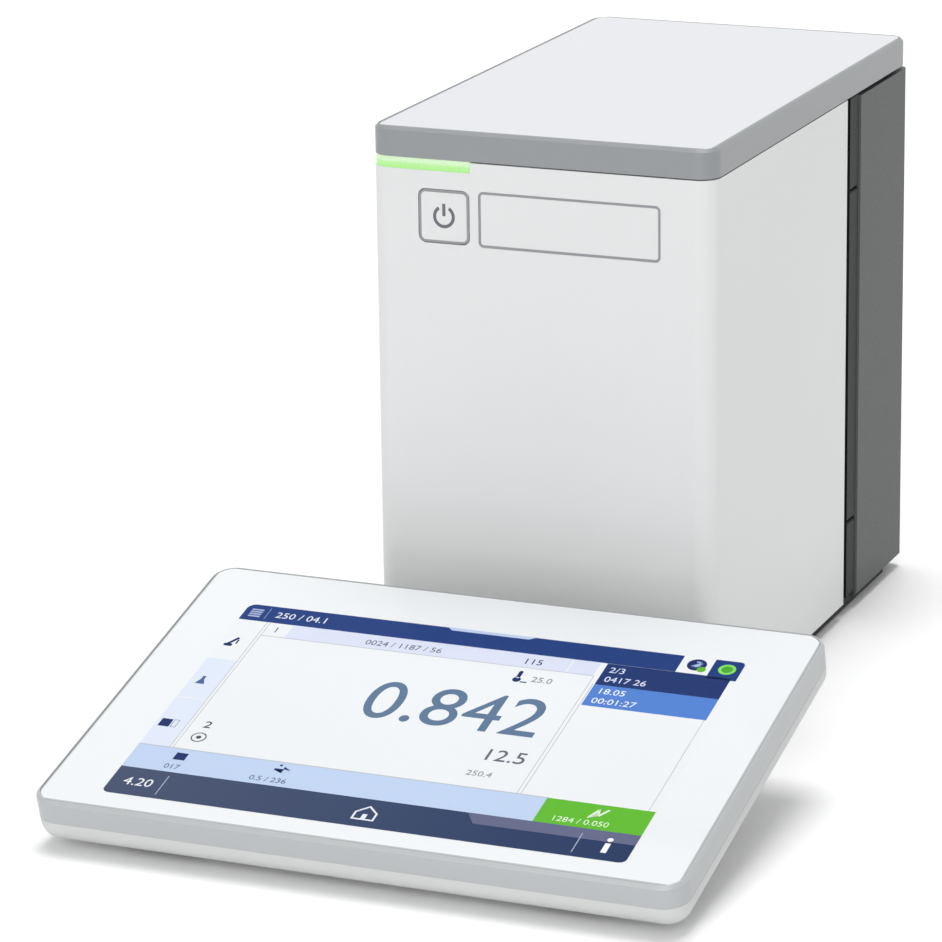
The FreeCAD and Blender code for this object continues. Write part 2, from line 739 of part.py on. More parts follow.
def make_base_tray():
    """Dark plinth, set in under the white walls, that carries the chassis and the feet."""
    rear = TOWER_D - BASE_REAR_INSET
    plinth = tower_block(WALL, rear, BASE_Z, FLOOR_Z, TOWER_R - WALL)
    inset = WALL + BASE_WALL
    floor = BASE_Z + BASE_FLOOR_T
    tray = plinth.cut(tower_block(inset, rear - BASE_WALL, floor, FLOOR_Z + OVER, BASE_INNER_R))
    posts = [rod(x, y, BASE_Z, BASE_POST_R, BASE_T) for x, y in base_screw_places()]
    for x in (-BASE_RIB_X, BASE_RIB_X):
        x0 = x - BASE_RIB_T / 2
        posts.append(block(x0, x0 + BASE_RIB_T, WALL + OVER, rear - OVER, BASE_Z + OVER, FLOOR_Z))
    tray = join(tray, *posts)
    cuts = [rod(x, y, BASE_Z - OVER, FOOT_R + FIT, FOOT_SINK + OVER) for x, y in foot_places()]
    for x, y in base_screw_places():
        head_room = SCREW_HEAD_R + SCREW_CLEAR
        cuts.append(rod(x, y, BASE_Z - OVER, head_room, SCREW_HEAD_H + SCREW_SINK + OVER))
        cuts.append(rod(x, y, BASE_Z, SCREW_R + FIT, BASE_T + OVER))
    return tray.cut(cuts)


def make_tower_feet():
    """Four rubber discs let into the plinth."""
    feet = []
    for x, y in foot_places():
        foot = rod(x, y, 0, FOOT_R, BASE_Z + FOOT_SINK)
        rim = [e for e in foot.Edges if abs(e.CenterOfMass.z) < TINY]
        feet.append(foot.makeChamfer(BASE_Z / 2, rim))
    return group(feet)


def make_base_screws():
    seat = BASE_Z + SCREW_HEAD_H + SCREW_SINK
    length = FLOOR_Z + CHASSIS_T - seat
    return group([screw(x, y, seat, length, Z_DIR) for x, y in base_screw_places()])


def make_strip(side, z0, z1):
    """Recessed filler strip on one side of the tower, bevelled along its outer edges."""
    inner = CHASSIS_X
    outer = HALF_W - STRIP_RECESS
    y0 = HOUSING_D + GROOVE
    low, high = sorted((side * inner, side * outer))
    strip = block(low, high, y0, y0 + STRIP_W - FIT, z0, z1)
    rim = []
    for e in strip.Edges:
        c = e.CenterOfMass
        at_end = min(abs(c.z - z0), abs(c.z - z1)) < TINY
        if at_end and abs(c.x - side * outer) < TINY:
            rim.append(e)
    return strip.makeChamfer(STRIP_BEVEL, rim)


def strips():
    """Three strips on each side, with a seam between them."""
    half = STRIP_SEAM / 2
    spans = (
        (FLOOR_Z, STRIP_SEAM_LOW - half),
        (STRIP_SEAM_LOW + half, STRIP_SEAM_HIGH - half),
        (STRIP_SEAM_HIGH + half, BAND_Z - LID_SKIRT_DROP - SEAM),
    )
    return {
        "left_strips": group([make_strip(-1, z0, z1) for z0, z1 in spans]),
        "right_strips": group([make_strip(1, z0, z1) for z0, z1 in spans]),
    }


# Tower, rear


def make_rear_cover():
    """Dark rear moulding: side wings, back wall with a framed window, and a ledge for the panel."""
    top = BAND_Z - COVER_TOP_GAP
    body = block(-COVER_X, COVER_X, COVER_Y0, COVER_Y1, COVER_Z, top, 0.0, COVER_R)
    rim = []
    for e in body.Edges:
        c = e.CenterOfMass
        at_front = abs(c.y - COVER_Y0) < TINY
        if at_front and abs(abs(c.x) - COVER_X) < TINY:
            rim.append(e)
        elif abs(c.z - COVER_Z) < TINY and not at_front:
            rim.append(e)
    body = body.makeChamfer(COVER_BEVEL, rim)
    back = COVER_Y1 - COVER_T
    inside = COVER_X - COVER_T
    cavity_r = COVER_R - COVER_T
    cavity = block(-inside, inside, COVER_Y0 - OVER, back, COVER_Z - OVER, top + OVER, 0.0, cavity_r)
    body = body.cut(cavity)
    mid_z = (WINDOW_Z0 + WINDOW_Z1) / 2
    window_h = WINDOW_Z1 - WINDOW_Z0
    ledge_y = PANEL_Y - PANEL_T
    wrap_w = WINDOW_W + 2 * COVER_T
    wrap_h = window_h + 2 * COVER_T
    body = join(body, centred(0, mid_z, wrap_w, wrap_h, ledge_y - LEDGE_T, back, WINDOW_R))
    open_w = WINDOW_W - 2 * LEDGE_W
    open_h = window_h - 2 * LEDGE_W
    inner_y = ledge_y - LEDGE_T - OVER
    cuts = [
        centred(0, mid_z, WINDOW_W, window_h, ledge_y, COVER_Y1 + OVER, WINDOW_R),
        centred(0, mid_z, open_w, open_h, inner_y, COVER_Y1, WINDOW_R),
    ]
    bore = SCREW_R + FIT
    head_room = SCREW_HEAD_R + SCREW_CLEAR
    for x, z in panel_screw_places():
        cuts.append(rod(x, inner_y, z, bore, LEDGE_T + 2 * OVER, Y_DIR))
    for x, z in cover_screw_places():
        cuts.append(rod(x, COVER_Y1 - SCREW_HEAD_H, z, head_room, SCREW_HEAD_H + OVER, Y_DIR))
        cuts.append(rod(x, back - OVER, z, bore, COVER_T + 2 * OVER, Y_DIR))
    return body.cut(cuts)


def make_rear_cover_screws():
    seat = COVER_Y1 - SCREW_HEAD_H
    return group([screw(x, seat, z, SCREW_L, Y_DIR * -1) for x, z in cover_screw_places()])


def panel_openings(y0, y1):
    """The holes that the sockets and modules need in the rear panel."""
    inner_w = MODULE_W - 2 * MODULE_LAP
    inner_h = MODULE_H - 2 * MODULE_LAP
    holes = [centred(MODULE_X, z, inner_w, inner_h, y0, y1, MODULE_R) for z in (COND_Z, PH_Z)]
    for x in round_port_xs():
        holes.append(rod(x, y0, PORT_TOP_Z, ROUND_R - SOCKET_LIP + FIT, y1 - y0, Y_DIR))
    for z, w, h in square_ports():
        holes.append(centred(PORT_X, z, w + 2 * FIT, h + 2 * FIT, y0, y1))
    return holes


def round_port_xs():
    return PORT_X - PORT_PITCH_X / 2, PORT_X + PORT_PITCH_X / 2


def square_ports():
    return (
        (USB_HOST_Z, USB_HOST_W, USB_HOST_H),
        (USB_DEVICE_Z, USB_DEVICE_W, USB_DEVICE_H),
        (LAN_Z, LAN_W, LAN_H),
        (DC_Z, DC_W, DC_H),
    )


def make_rear_panel():
    """Sheet-metal panel in the cover's window, cut out for the modules and the ports."""
    mid_z = (PANEL_Z0 + PANEL_Z1) / 2
    width = WINDOW_W - 2 * FIT
    inner_y = PANEL_Y - PANEL_T
    panel = centred(0, mid_z, width, PANEL_Z1 - PANEL_Z0, inner_y, PANEL_Y, WINDOW_R)
    cuts = panel_openings(inner_y - OVER, PANEL_Y + OVER)
    for x, z in panel_screw_places():
        cuts.append(rod(x, inner_y - OVER, z, SCREW_R + FIT, PANEL_T + 2 * OVER, Y_DIR))
    return panel.cut(cuts)


def make_rear_panel_screws():
    places = panel_screw_places()
    return group([screw(x, PANEL_Y, z, PANEL_T + LEDGE_T, Y_DIR * -1) for x, z in places])


# Measuring modules


def make_module_plate(z, holes):
    """Face plate of a measuring module, lapped on the rear panel."""
    plate = centred(MODULE_X, z, MODULE_W, MODULE_H, PANEL_Y, MODULE_Y, MODULE_R)
    depth = MODULE_T + 2 * OVER
    return plate.cut([rod(x, PANEL_Y - OVER, hole_z, r + FIT, depth, Y_DIR) for x, hole_z, r in holes])


def cond_socket_place():
    return MODULE_X, COND_Z + MAIN_SOCKET_UP


def cond_cinch_place():
    return MODULE_X, COND_Z - COND_CINCH_DOWN


def bnc_place():
    return MODULE_X, PH_Z + MAIN_SOCKET_UP


def ph_cinch_place():
    return MODULE_X + PH_CINCH_RIGHT, PH_Z - PH_ROW_DOWN


def reference_place():
    return MODULE_X - REFERENCE_LEFT, PH_Z - PH_ROW_DOWN


def make_conductivity_plate():
    holes = [(*cond_socket_place(), COND_BODY_R), (*cond_cinch_place(), CINCH_R)]
    return make_module_plate(COND_Z, holes)


def make_ph_plate():
    holes = [(*bnc_place(), BNC_R), (*ph_cinch_place(), CINCH_R), (*reference_place(), REF_BODY_R)]
    return make_module_plate(PH_Z, holes)


def make_module_board(z):
    """Upright circuit board that stands out from the back of a module plate."""
    x0 = MODULE_X - MODULE_W / 2 + MODULE_BOARD_INSET
    x1 = x0 + BOARD_T
    y0 = PANEL_Y - MODULE_BOARD_L
    half = MODULE_BOARD_H / 2
    board = block(x0, x1, y0, PANEL_Y, z - half, z + half)
    notch_z = z + half - MODULE_NOTCH_H
    return board.cut(block(x0 - OVER, x1 + OVER, y0 - OVER, y0 + MODULE_NOTCH_L, notch_z, BIG))


def make_bnc_socket():
    """Coaxial bayonet socket: barrel with two lugs, seat flange and centre contact."""
    x, z = bnc_place()
    body = rod(x, PANEL_Y - BACK_L, z, BNC_R, BACK_L + MODULE_T + BNC_L, Y_DIR)
    flange = rod(x, MODULE_Y, z, NUT_R, NUT_T, Y_DIR)
    lug_y = MODULE_Y + BNC_L - BNC_LUG_SETBACK
    lug_span = BNC_R + BNC_LUG_H
    lugs = rod(x - lug_span, lug_y, z, BNC_LUG_R, 2 * lug_span, X_DIR)
    body = join(body, flange, lugs)
    mouth = rod(x, MODULE_Y + NUT_T, z, BNC_BORE_R, BNC_L, Y_DIR)
    contact = rod(x, MODULE_Y + NUT_T / 2, z, BNC_PIN_R, BNC_PIN_L, Y_DIR)
    return join(body.cut(mouth), contact)


def make_cinch(x, z):
    """Cinch socket: outer sleeve with a flange and a small centre bore."""
    body = rod(x, PANEL_Y - BACK_L, z, CINCH_R, BACK_L + MODULE_T + CINCH_L, Y_DIR)
    flange = rod(x, MODULE_Y, z, CINCH_FLANGE_R, CINCH_FLANGE_T, Y_DIR)
    bore = rod(x, MODULE_Y, z, CINCH_BORE_R, BIG, Y_DIR)
    return join(body, flange).cut(bore)


def make_temperature_sockets():
    return group([make_cinch(*cond_cinch_place()), make_cinch(*ph_cinch_place())])


def make_reference_socket():
    """Insulated 4 mm socket for a separate reference electrode."""
    x, z = reference_place()
    body = rod(x, MODULE_Y - REF_DEPTH, z, REF_BODY_R, REF_DEPTH + REF_L, Y_DIR)
    collar = rod(x, MODULE_Y, z, REF_COLLAR_R, REF_L, Y_DIR)
    bore = rod(x, MODULE_Y + REF_L - REF_DEPTH, z, REF_BORE_R, REF_DEPTH + OVER, Y_DIR)
    return join(body, collar).cut(bore)


def make_conductivity_socket():
    """Round multi-pole socket of the conductivity probe, with a grooved collar."""
    x, z = cond_socket_place()
    mouth = MODULE_Y + COND_L
    body = rod(x, MODULE_Y - COND_DEPTH, z, COND_BODY_R, COND_DEPTH + COND_L, Y_DIR)
    collar = rod(x, MODULE_Y, z, COND_R, COND_L, Y_DIR)
    groove_y = mouth - COND_GROOVE_SETBACK
    groove = tube(x, groove_y, z, COND_R + OVER, COND_R - COND_GROOVE_D, COND_GROOVE_W, Y_DIR)
    bore = rod(x, mouth - COND_DEPTH, z, COND_BORE_R, COND_DEPTH + OVER, Y_DIR)
    return join(body, collar).cut([groove, bore])


# Ports of the rear panel


def make_round_port(x):
    """Round port: collar on the panel, body back to the port board, bored for a plug."""
    body = rod(x, PORT_BOARD_REAR, PORT_TOP_Z, ROUND_R - SOCKET_LIP, PORT_BOARD_Y + ROUND_L, Y_DIR)
    collar = rod(x, PANEL_Y, PORT_TOP_Z, ROUND_R, ROUND_L, Y_DIR)
    bore_y = PANEL_Y + ROUND_L - ROUND_DEPTH
    bore = rod(x, bore_y, PORT_TOP_Z, ROUND_BORE_R, ROUND_DEPTH + OVER, Y_DIR)
    return join(body, collar).cut(bore)


def make_square_port(z, w, h, hole_w, hole_h):
    """Rectangular port: housing from the port board out through the panel, with its plug pocket."""
    mouth = PANEL_Y + SOCKET_LIP
    body = centred(PORT_X, z, w, h, PORT_BOARD_REAR, mouth)
    return body.cut(centred(PORT_X, z, hole_w, hole_h, mouth - SOCKET_POCKET, mouth + OVER))


def make_usb_host_socket():
    return make_square_port(USB_HOST_Z, USB_HOST_W, USB_HOST_H, USB_HOST_HOLE_W, USB_HOST_HOLE_H)


def make_usb_device_socket():
    hole_w = USB_DEVICE_HOLE_W
    hole_h = USB_DEVICE_HOLE_H
    return make_square_port(USB_DEVICE_Z, USB_DEVICE_W, USB_DEVICE_H, hole_w, hole_h)


def make_lan_socket():
    """Network socket, with the keyway for the plug's latch above its pocket."""
    socket = make_square_port(LAN_Z, LAN_W, LAN_H, LAN_HOLE_W, LAN_HOLE_H)
    mouth = PANEL_Y + SOCKET_LIP
    key_h = LAN_KEY_H + FIT
    key_z = LAN_Z + LAN_HOLE_H / 2 - FIT + key_h / 2
    key = centred(PORT_X, key_z, LAN_KEY_W, key_h, mouth - SOCKET_POCKET, mouth + OVER)
    return socket.cut(key)


def make_dc_inlet():
    """Power inlet for a round barrel plug."""
    mouth = PANEL_Y + SOCKET_LIP
    body = centred(PORT_X, DC_Z, DC_W, DC_H, PORT_BOARD_REAR, mouth, DC_CORNER_R)
    return body.cut(rod(PORT_X, mouth - DC_BORE_DEPTH, DC_Z, DC_BORE_R, DC_BORE_DEPTH + OVER, Y_DIR))


def make_port_board():
    """Board behind the rear panel that carries every port."""
    z0 = DC_Z - DC_H / 2 - PORT_BOARD_EDGE
    z1 = PORT_TOP_Z + ROUND_R + PORT_BOARD_EDGE
    y0 = PORT_BOARD_REAR - BOARD_T
    half = PORT_BOARD_W / 2
    return upright(PORT_X - half, PORT_X + half, y0, PORT_BOARD_REAR, z0, z1, BOARD_R)


# Main board


def make_main_board():
    z = FLOOR_Z + CHASSIS_T + SPACER_H
    board = block(-MAIN_W / 2, MAIN_W / 2, MAIN_Y, MAIN_Y + MAIN_L, z, z + BOARD_T, MAIN_R)
    depth = BOARD_T + 2 * OVER
    return board.cut([rod(x, y, z - OVER, SCREW_R + FIT, depth) for x, y in main_holes()])


def make_main_board_spacers():
    z = FLOOR_Z + CHASSIS_T
    return group([tube(x, y, z, SPACER_R, SCREW_R + FIT, SPACER_H) for x, y in main_holes()])


def make_main_board_screws():
    z = FLOOR_Z + CHASSIS_T + SPACER_H + BOARD_T
    return group([screw(x, y, z, BOARD_T + SPACER_H, Z_DIR * -1) for x, y in main_holes()])


def make_processor_sink():
    """Finned aluminium sink, seated on the processor by its middle pad."""
    z = FLOOR_Z + CHASSIS_T + SPACER_H + BOARD_T
    y = MAIN_Y + SINK_Y
    half = SINK_SIZE / 2
    pad = block(-SINK_PAD / 2, SINK_PAD / 2, y - SINK_PAD / 2, y + SINK_PAD / 2, z, z + SINK_PAD_T)
    top = z + SINK_PAD_T + SINK_BASE_T
    base = block(-half, half, y - half, y + half, z + SINK_PAD_T, top)
    pitch = (SINK_SIZE - SINK_FIN_T) / (SINK_FINS - 1)
    fins = []
    for i in range(SINK_FINS):
        x = -half + pitch * i
        fins.append(block(x, x + SINK_FIN_T, y - half, y + half, top, top + SINK_FIN_H))
    return join(pad, base, *fins)


# Terminal, in its own frame: x across, y back along the glass, z out of the glass


def term_block(inset, z0, z1, rim=RIM):
    """A block that follows the terminal's outline at an inset from its frame."""
    x = GLASS_W / 2 + rim - inset
    radius = max(GLASS_R + rim - inset, CORNER_MIN)
    return block(-x, x, inset - rim, GLASS_D + rim - inset, z0, z1, radius)


def corner_screws():
    far = GLASS_D - CORNER_SCREW_Y
    return [(sx * CORNER_SCREW_X, y) for sx in (-1, 1) for y in (CORNER_SCREW_Y, far)]


def make_cover_glass():
    """Cover glass over the whole terminal, printed white round the display."""
    glass = term_block(RIM, -GLASS_T, 0)
    rim = [e for e in glass.Edges if abs(e.CenterOfMass.z) < TINY]
    return glass.makeChamfer(GLASS_BEVEL, rim)


def make_terminal_frame():
    """Satin metal-look frame round the glass, bevelled, with a ledge and four screw lugs."""
    frame = term_block(0, -FRAME_H, 0)
    rim = [e for e in frame.Edges if abs(e.CenterOfMass.z) < TINY]
    frame = frame.makeChamfer(RIM_BEVEL, rim)
    ledge_z = -GLASS_T - GLASS_LEDGE_T
    bottom_well = term_block(FRAME_T, -FRAME_H - OVER, ledge_z)
    middle = term_block(RIM + GLASS_LEDGE, -FRAME_H, OVER)
    seat = term_block(RIM - GLASS_GAP, -GLASS_T, OVER)
    frame = frame.cut([bottom_well, middle, seat])
    lug_z = -GLASS_T - LUG_H
    lug_top = ledge_z + GLASS_LEDGE_T / 2
    half = LUG_ARM_W / 2
    extras = []
    for x, y in corner_screws():
        extras.append(rod(x, y, lug_z, LUG_R, lug_top - lug_z))
        low, high = sorted((x, math.copysign(GLASS_W / 2 - GLASS_LEDGE / 2, x)))
        extras.append(block(low, high, y - half, y + half, ledge_z, lug_top))
    frame = join(frame, *extras)
    bore = TERM_SCREW_R + FIT
    return frame.cut([rod(x, y, lug_z - OVER, bore, LUG_H) for x, y in corner_screws()])


def make_touch_display():
    """Display and touch module bonded under the glass, with its back stepped in."""
    half = DISPLAY_W / 2
    middle = -GLASS_T - DISPLAY_T / 2
    top = block(-half, half, DISPLAY_Y0, DISPLAY_Y1, middle, -GLASS_T, DISPLAY_R)
    half -= DISPLAY_STEP
    y0 = DISPLAY_Y0 + DISPLAY_STEP
    y1 = DISPLAY_Y1 - DISPLAY_STEP
    back = block(-half, half, y0, y1, -GLASS_T - DISPLAY_T, middle, DISPLAY_R)
    return join(top, back)


def leg_xs():
    return -LEG_X, LEG_X


def pocket_block(x, wall, z0, z1):
    """Space that a folded foot needs, with a wall's thickness added all round."""
    half = LEG_W / 2 + LEG_GAP + wall
    y1 = LEG_Y + LEG_T / 2 + LEG_GAP + wall
    y0 = LEG_Y - leg_swing() - LEG_GAP - wall
    return block(x - half, x + half, y0, y1, z0, z1, POCKET_R)


def make_lower_shell():
    """White tray that curves under, with pockets for the feet, bosses and a bay for the plug."""
    outer = term_block(0, -SHELL_BOTTOM, -FRAME_H)
    rim = [e for e in outer.Edges if abs(e.CenterOfMass.z + SHELL_BOTTOM) < TINY]
    outer = outer.makeFillet(SHELL_ROUND, rim)
    rim = [e for e in outer.Edges if abs(e.CenterOfMass.z + FRAME_H) < TINY]
    outer = outer.makeChamfer(SHELL_EDGE, rim)
    inner = term_block(SHELL_WALL, -SHELL_BOTTOM + SHELL_WALL, -FRAME_H + OVER)
    rim = [e for e in inner.Edges if abs(e.CenterOfMass.z + SHELL_BOTTOM - SHELL_WALL) < TINY]
    inner = inner.makeFillet(SHELL_ROUND - SHELL_WALL, rim)
    tray = outer.cut(inner)
    floor = -SHELL_BOTTOM + SHELL_WALL / 2
    extras = shell_lip()
    for x in leg_xs():
        extras.append(pocket_block(x, POCKET_WALL, floor, -POCKET_ROOF + POCKET_WALL))
        extras += foot_ears(x, floor)
    board_z = -TERM_BOARD_DROP - BOARD_T
    for x, y in term_board_holes():
        extras.append(rod(x, y, floor, TERM_BOSS_R, board_z - floor))
    for x, y in corner_screws():
        extras.append(rod(x, y, floor, SHELL_BOSS_R, -GLASS_T - LUG_H - floor))
    bay_half = BAY_W / 2
    bay_wall = bay_half + POCKET_WALL
    bay_top = -BAY_ROOF + POCKET_WALL
    extras.append(block(-bay_wall, bay_wall, BAY_Y - POCKET_WALL, GLASS_D, floor, bay_top))
    tray = join(tray, *extras)
    cuts = [pocket_block(x, 0.0, -BIG, -POCKET_ROOF) for x in leg_xs()]
    cuts += [foot_pin(x, OVER) for x in leg_xs()]
    cuts.append(block(-bay_half, bay_half, BAY_Y, BIG, -BIG, -BAY_ROOF))
    cuts.append(port_block(FIT))
    bore = TERM_SCREW_R + FIT
    for x, y in term_board_holes():
        cuts.append(rod(x, y, floor + OVER, bore, SHELL_BOTTOM))
    head_z = -SHELL_BOTTOM + TERM_SCREW_HEAD_H + TERM_SCREW_SINK
    for x, y in corner_screws():
        cuts.append(rod(x, y, -BIG, TERM_SCREW_HEAD_R + SCREW_CLEAR, BIG + head_z))
        cuts.append(rod(x, y, head_z - OVER, bore, SHELL_BOTTOM))
    for x in leg_xs():
        cuts.append(pad_block(x, -SHELL_BOTTOM - OVER, -SHELL_BOTTOM + PAD_SINK, FIT))
    return tray.cut(cuts)


def shell_lip():
    """Lip that locates the shell inside the frame, and its foot on the shell's wall."""
    outer = FRAME_T + FIT
    foot_z = -FRAME_H - LIP_FOOT_H
    hollow = term_block(outer + SHELL_LIP_T, foot_z - OVER, 0)
    lip = term_block(outer, foot_z, -FRAME_H + SHELL_LIP_H)
    foot = term_block(SHELL_WALL / 2, foot_z, -FRAME_H)
    return [lip.cut(hollow), foot.cut(hollow)]


def foot_ears(x, floor):
    """Two ears that hold the pin of a fold-out foot."""
    inner = LEG_W / 2 + LEG_GAP
    half = LEG_T / 2 + EAR_WALL
    ears = []
    for side in (-1, 1):
        low, high = sorted((x + side * inner, x + side * (inner + LEG_PIN_HOLD)))
        ears.append(block(low, high, LEG_Y - half, LEG_Y + half, floor, -LEG_DROP + half))
    return ears


def term_board_holes():
    x = TERM_BOARD_W / 2 - TERM_HOLE_INSET
    near = TERM_BOARD_Y0 + TERM_HOLE_INSET
    far = TERM_BOARD_Y1 - TERM_HOLE_INSET
    return [(sx * x, y) for sx in (-1, 1) for y in (near, far)]


def make_terminal_board():
    half = TERM_BOARD_W / 2
    z0 = -TERM_BOARD_DROP - BOARD_T
    board = block(-half, half, TERM_BOARD_Y0, TERM_BOARD_Y1, z0, z0 + BOARD_T, MAIN_R)
    bore = TERM_SCREW_R + FIT
    return board.cut([rod(x, y, z0 - OVER, bore, BOARD_T + 2 * OVER) for x, y in term_board_holes()])


def make_terminal_board_screws():
    length = BOARD_T + TERM_SCREW_BITE
    down = Z_DIR * -1
    sizes = (TERM_SCREW_HEAD_R, TERM_SCREW_HEAD_H, TERM_SCREW_R)
    return group([screw(x, y, -TERM_BOARD_DROP, length, down, *sizes) for x, y in term_board_holes()])


def make_shell_screws():
    z = -SHELL_BOTTOM + TERM_SCREW_HEAD_H + TERM_SCREW_SINK
    length = -GLASS_T - GLASS_LEDGE_T - z - OVER
    sizes = (TERM_SCREW_HEAD_R, TERM_SCREW_HEAD_H, TERM_SCREW_R)
    return group([screw(x, y, z, length, Z_DIR, *sizes) for x, y in corner_screws()])


def make_buzzer():
    """Sounder under the terminal's board, with its sound hole facing down."""
    z = -TERM_BOARD_DROP - BOARD_T - BUZZER_T
    body = rod(BUZZER_X, BUZZER_Y, z, BUZZER_R, BUZZER_T)
    return body.cut(rod(BUZZER_X, BUZZER_Y, z - OVER, BUZZER_HOLE_R, BUZZER_HOLE_D + OVER))


def port_block(grow=0.0):
    """Outside of the terminal's cable socket, which looks out into the bay."""
    top = -BAY_ROOF - 2 * FIT
    half = PORT_W / 2 + grow
    return block(-half, half, BAY_Y - PORT_L, BAY_Y + FIT, top - PORT_H - grow, top + grow)


def make_terminal_socket():
    """Small cable socket in the front wall of the bay."""
    body = port_block()
    middle = body.BoundBox.Center.z
    half_w = PORT_SLOT_W / 2
    half_h = PORT_SLOT_H / 2
    y0 = BAY_Y - PORT_L + PORT_FLOOR_T
    return body.cut(block(-half_w, half_w, y0, BAY_Y + OVER, middle - half_h, middle + half_h))


# Terminal feet


def leg_reach():
    """Length along the deployed foot from its pin to the bench."""
    tilt = math.radians(TILT)
    height = TERM_Z + LEG_Y * math.sin(tilt) - LEG_DROP * math.cos(tilt)
    return height / math.cos(tilt)


def leg_tip():
    """Height of the blade's end, where the rubber shoe begins."""
    return -LEG_DROP - leg_reach() + LEG_TIP_CUT


def leg_swing():
    """Furthest that the shoe reaches from the pin as the foot folds."""
    half = LEG_T / 2
    return math.hypot(leg_reach() + half * math.tan(math.radians(TILT)), half)


def spigot(x, grow=0.0):
    """Tongue on the blade's end that fills the slot in the shoe."""
    half_w = LEG_W / 2 - SPIGOT_INSET
    half_t = SPIGOT_T / 2
    top = leg_tip() + grow
    return block(x - half_w, x + half_w, LEG_Y - half_t, LEG_Y + half_t, leg_tip() - SPIGOT_L, top)


def make_foot(x):
    """Fold-out foot: knuckle on the pin, ribbed blade, and a spigot for the rubber shoe."""
    half = LEG_W / 2
    front = LEG_Y - LEG_T / 2
    knuckle = rod(x - half, LEG_Y, -LEG_DROP, LEG_T / 2, LEG_W, X_DIR)
    blade = block(x - half, x + half, front, LEG_Y + LEG_T / 2, leg_tip(), -LEG_DROP)
    leg = join(knuckle, blade, spigot(x))
    relief_x = half - LEG_EDGE_W
    relief_z0 = leg_tip() + LEG_EDGE_W
    relief_z1 = -LEG_DROP - LEG_T
    relief = block(x - relief_x, x + relief_x, -BIG, front + LEG_RELIEF, relief_z0, relief_z1)
    rib_x = LEG_RIB_W / 2
    rib = block(x - rib_x, x + rib_x, front, LEG_Y, leg_tip(), relief_z1 + LEG_T / 4)
    bore_l = LEG_W + 2 * OVER
    bore = rod(x - bore_l / 2, LEG_Y, -LEG_DROP, LEG_PIN_R + LEG_PIN_FIT, bore_l, X_DIR)
    return join(leg.cut(relief), rib).cut(bore)


def make_foot_shoe(x):
    """Rubber shoe on the end of a foot, long enough to be trimmed flat at the bench."""
    half_w = LEG_W / 2
    half_t = LEG_T / 2
    z0 = leg_tip() - LEG_TIP_CUT - half_t
    shoe = block(x - half_w, x + half_w, LEG_Y - half_t, LEG_Y + half_t, z0, leg_tip(), SHOE_R)
    return shoe.cut(spigot(x, OVER))


def foot_pin(x, spare=0.0):
    """Pin of a fold-out foot, held in the shell's ears."""
    half = LEG_W / 2 + LEG_GAP + LEG_PIN_HOLD + spare
    return rod(x - half, LEG_Y, -LEG_DROP, LEG_PIN_R, 2 * half, X_DIR)


def make_foot_pins():
    return group([foot_pin(x) for x in leg_xs()])


def pad_block(x, z0, z1, grow=0.0):
    half = PAD_W / 2 + grow
    depth = PAD_D / 2 + grow
    return block(x - half, x + half, PAD_Y - depth, PAD_Y + depth, z0, z1, PAD_D / 2 - FIT)


def make_front_pads():
    """Two rubber pads, long enough to be trimmed flat at the bench."""
    return [pad_block(x, -SHELL_BOTTOM - TERM_Z, -SHELL_BOTTOM + PAD_SINK) for x in leg_xs()]


# Placing and writing


def origin_shift():
    """Moves the instrument so that the origin lies under the middle of its box."""
    tilt = math.radians(TILT)
    front = TERM_Y - RIM * math.cos(tilt) + RIM_BEVEL * math.sin(tilt)
    return V(-TERM_X, -(front + REAR_Y) / 2, 0)


def place_tower(shape):
    shape = shape.copy()
    shape.translate(origin_shift())
    return shape


def place_terminal(shape):
    shape = shape.copy()
    shape.rotate(V(0, 0, 0), X_DIR, TILT)
    shape.translate(V(TERM_X, TERM_Y, TERM_Z) + origin_shift())
    return shape


def above_bench(shape):
    return shape.common(Part.makeBox(2 * BIG, 2 * BIG, BIG, V(-BIG, -BIG, 0)))


def tower_parts():
    parts = {
        "housing": make_housing(),
        "name_plate": make_name_plate(),
        "power_button": make_power_button(),
        "power_switch": make_power_switch(),
        "switch_plunger": make_switch_plunger(),
        "front_board": make_front_board(),
        "front_leds": make_front_leds(),
        "light_guide": make_light_guide(),
        "top_band": make_top_band(),
        "top_plate": make_top_plate(),
        "lid_frame": make_lid_frame(),
        "lid_screws": make_lid_screws(),
        "chassis": make_chassis(),
        "left_side_frame": make_side_frame(-1),
        "right_side_frame": make_side_frame(1),
        "base_tray": make_base_tray(),
        "tower_feet": make_tower_feet(),
        "base_screws": make_base_screws(),
        "rear_cover": make_rear_cover(),
        "rear_cover_screws": make_rear_cover_screws(),
        "rear_panel": make_rear_panel(),
        "rear_panel_screws": make_rear_panel_screws(),
        "conductivity_plate": make_conductivity_plate(),
        "conductivity_board": make_module_board(COND_Z),
        "conductivity_socket": make_conductivity_socket(),
        "ph_plate": make_ph_plate(),
        "ph_board": make_module_board(PH_Z),
        "ph_socket": make_bnc_socket(),
        "reference_socket": make_reference_socket(),
        "temperature_sockets": make_temperature_sockets(),
        "stirrer_port": make_round_port(round_port_xs()[0]),
        "terminal_port": make_round_port(round_port_xs()[1]),
        "usb_host_socket": make_usb_host_socket(),
        "usb_device_socket": make_usb_device_socket(),
        "lan_socket": make_lan_socket(),
        "dc_inlet": make_dc_inlet(),
        "port_board": make_port_board(),
        "main_board": make_main_board(),
        "main_board_spacers": make_main_board_spacers(),
        "main_board_screws": make_main_board_screws(),
        "processor_sink": make_processor_sink(),
    }
    parts.update(strips())
    return parts


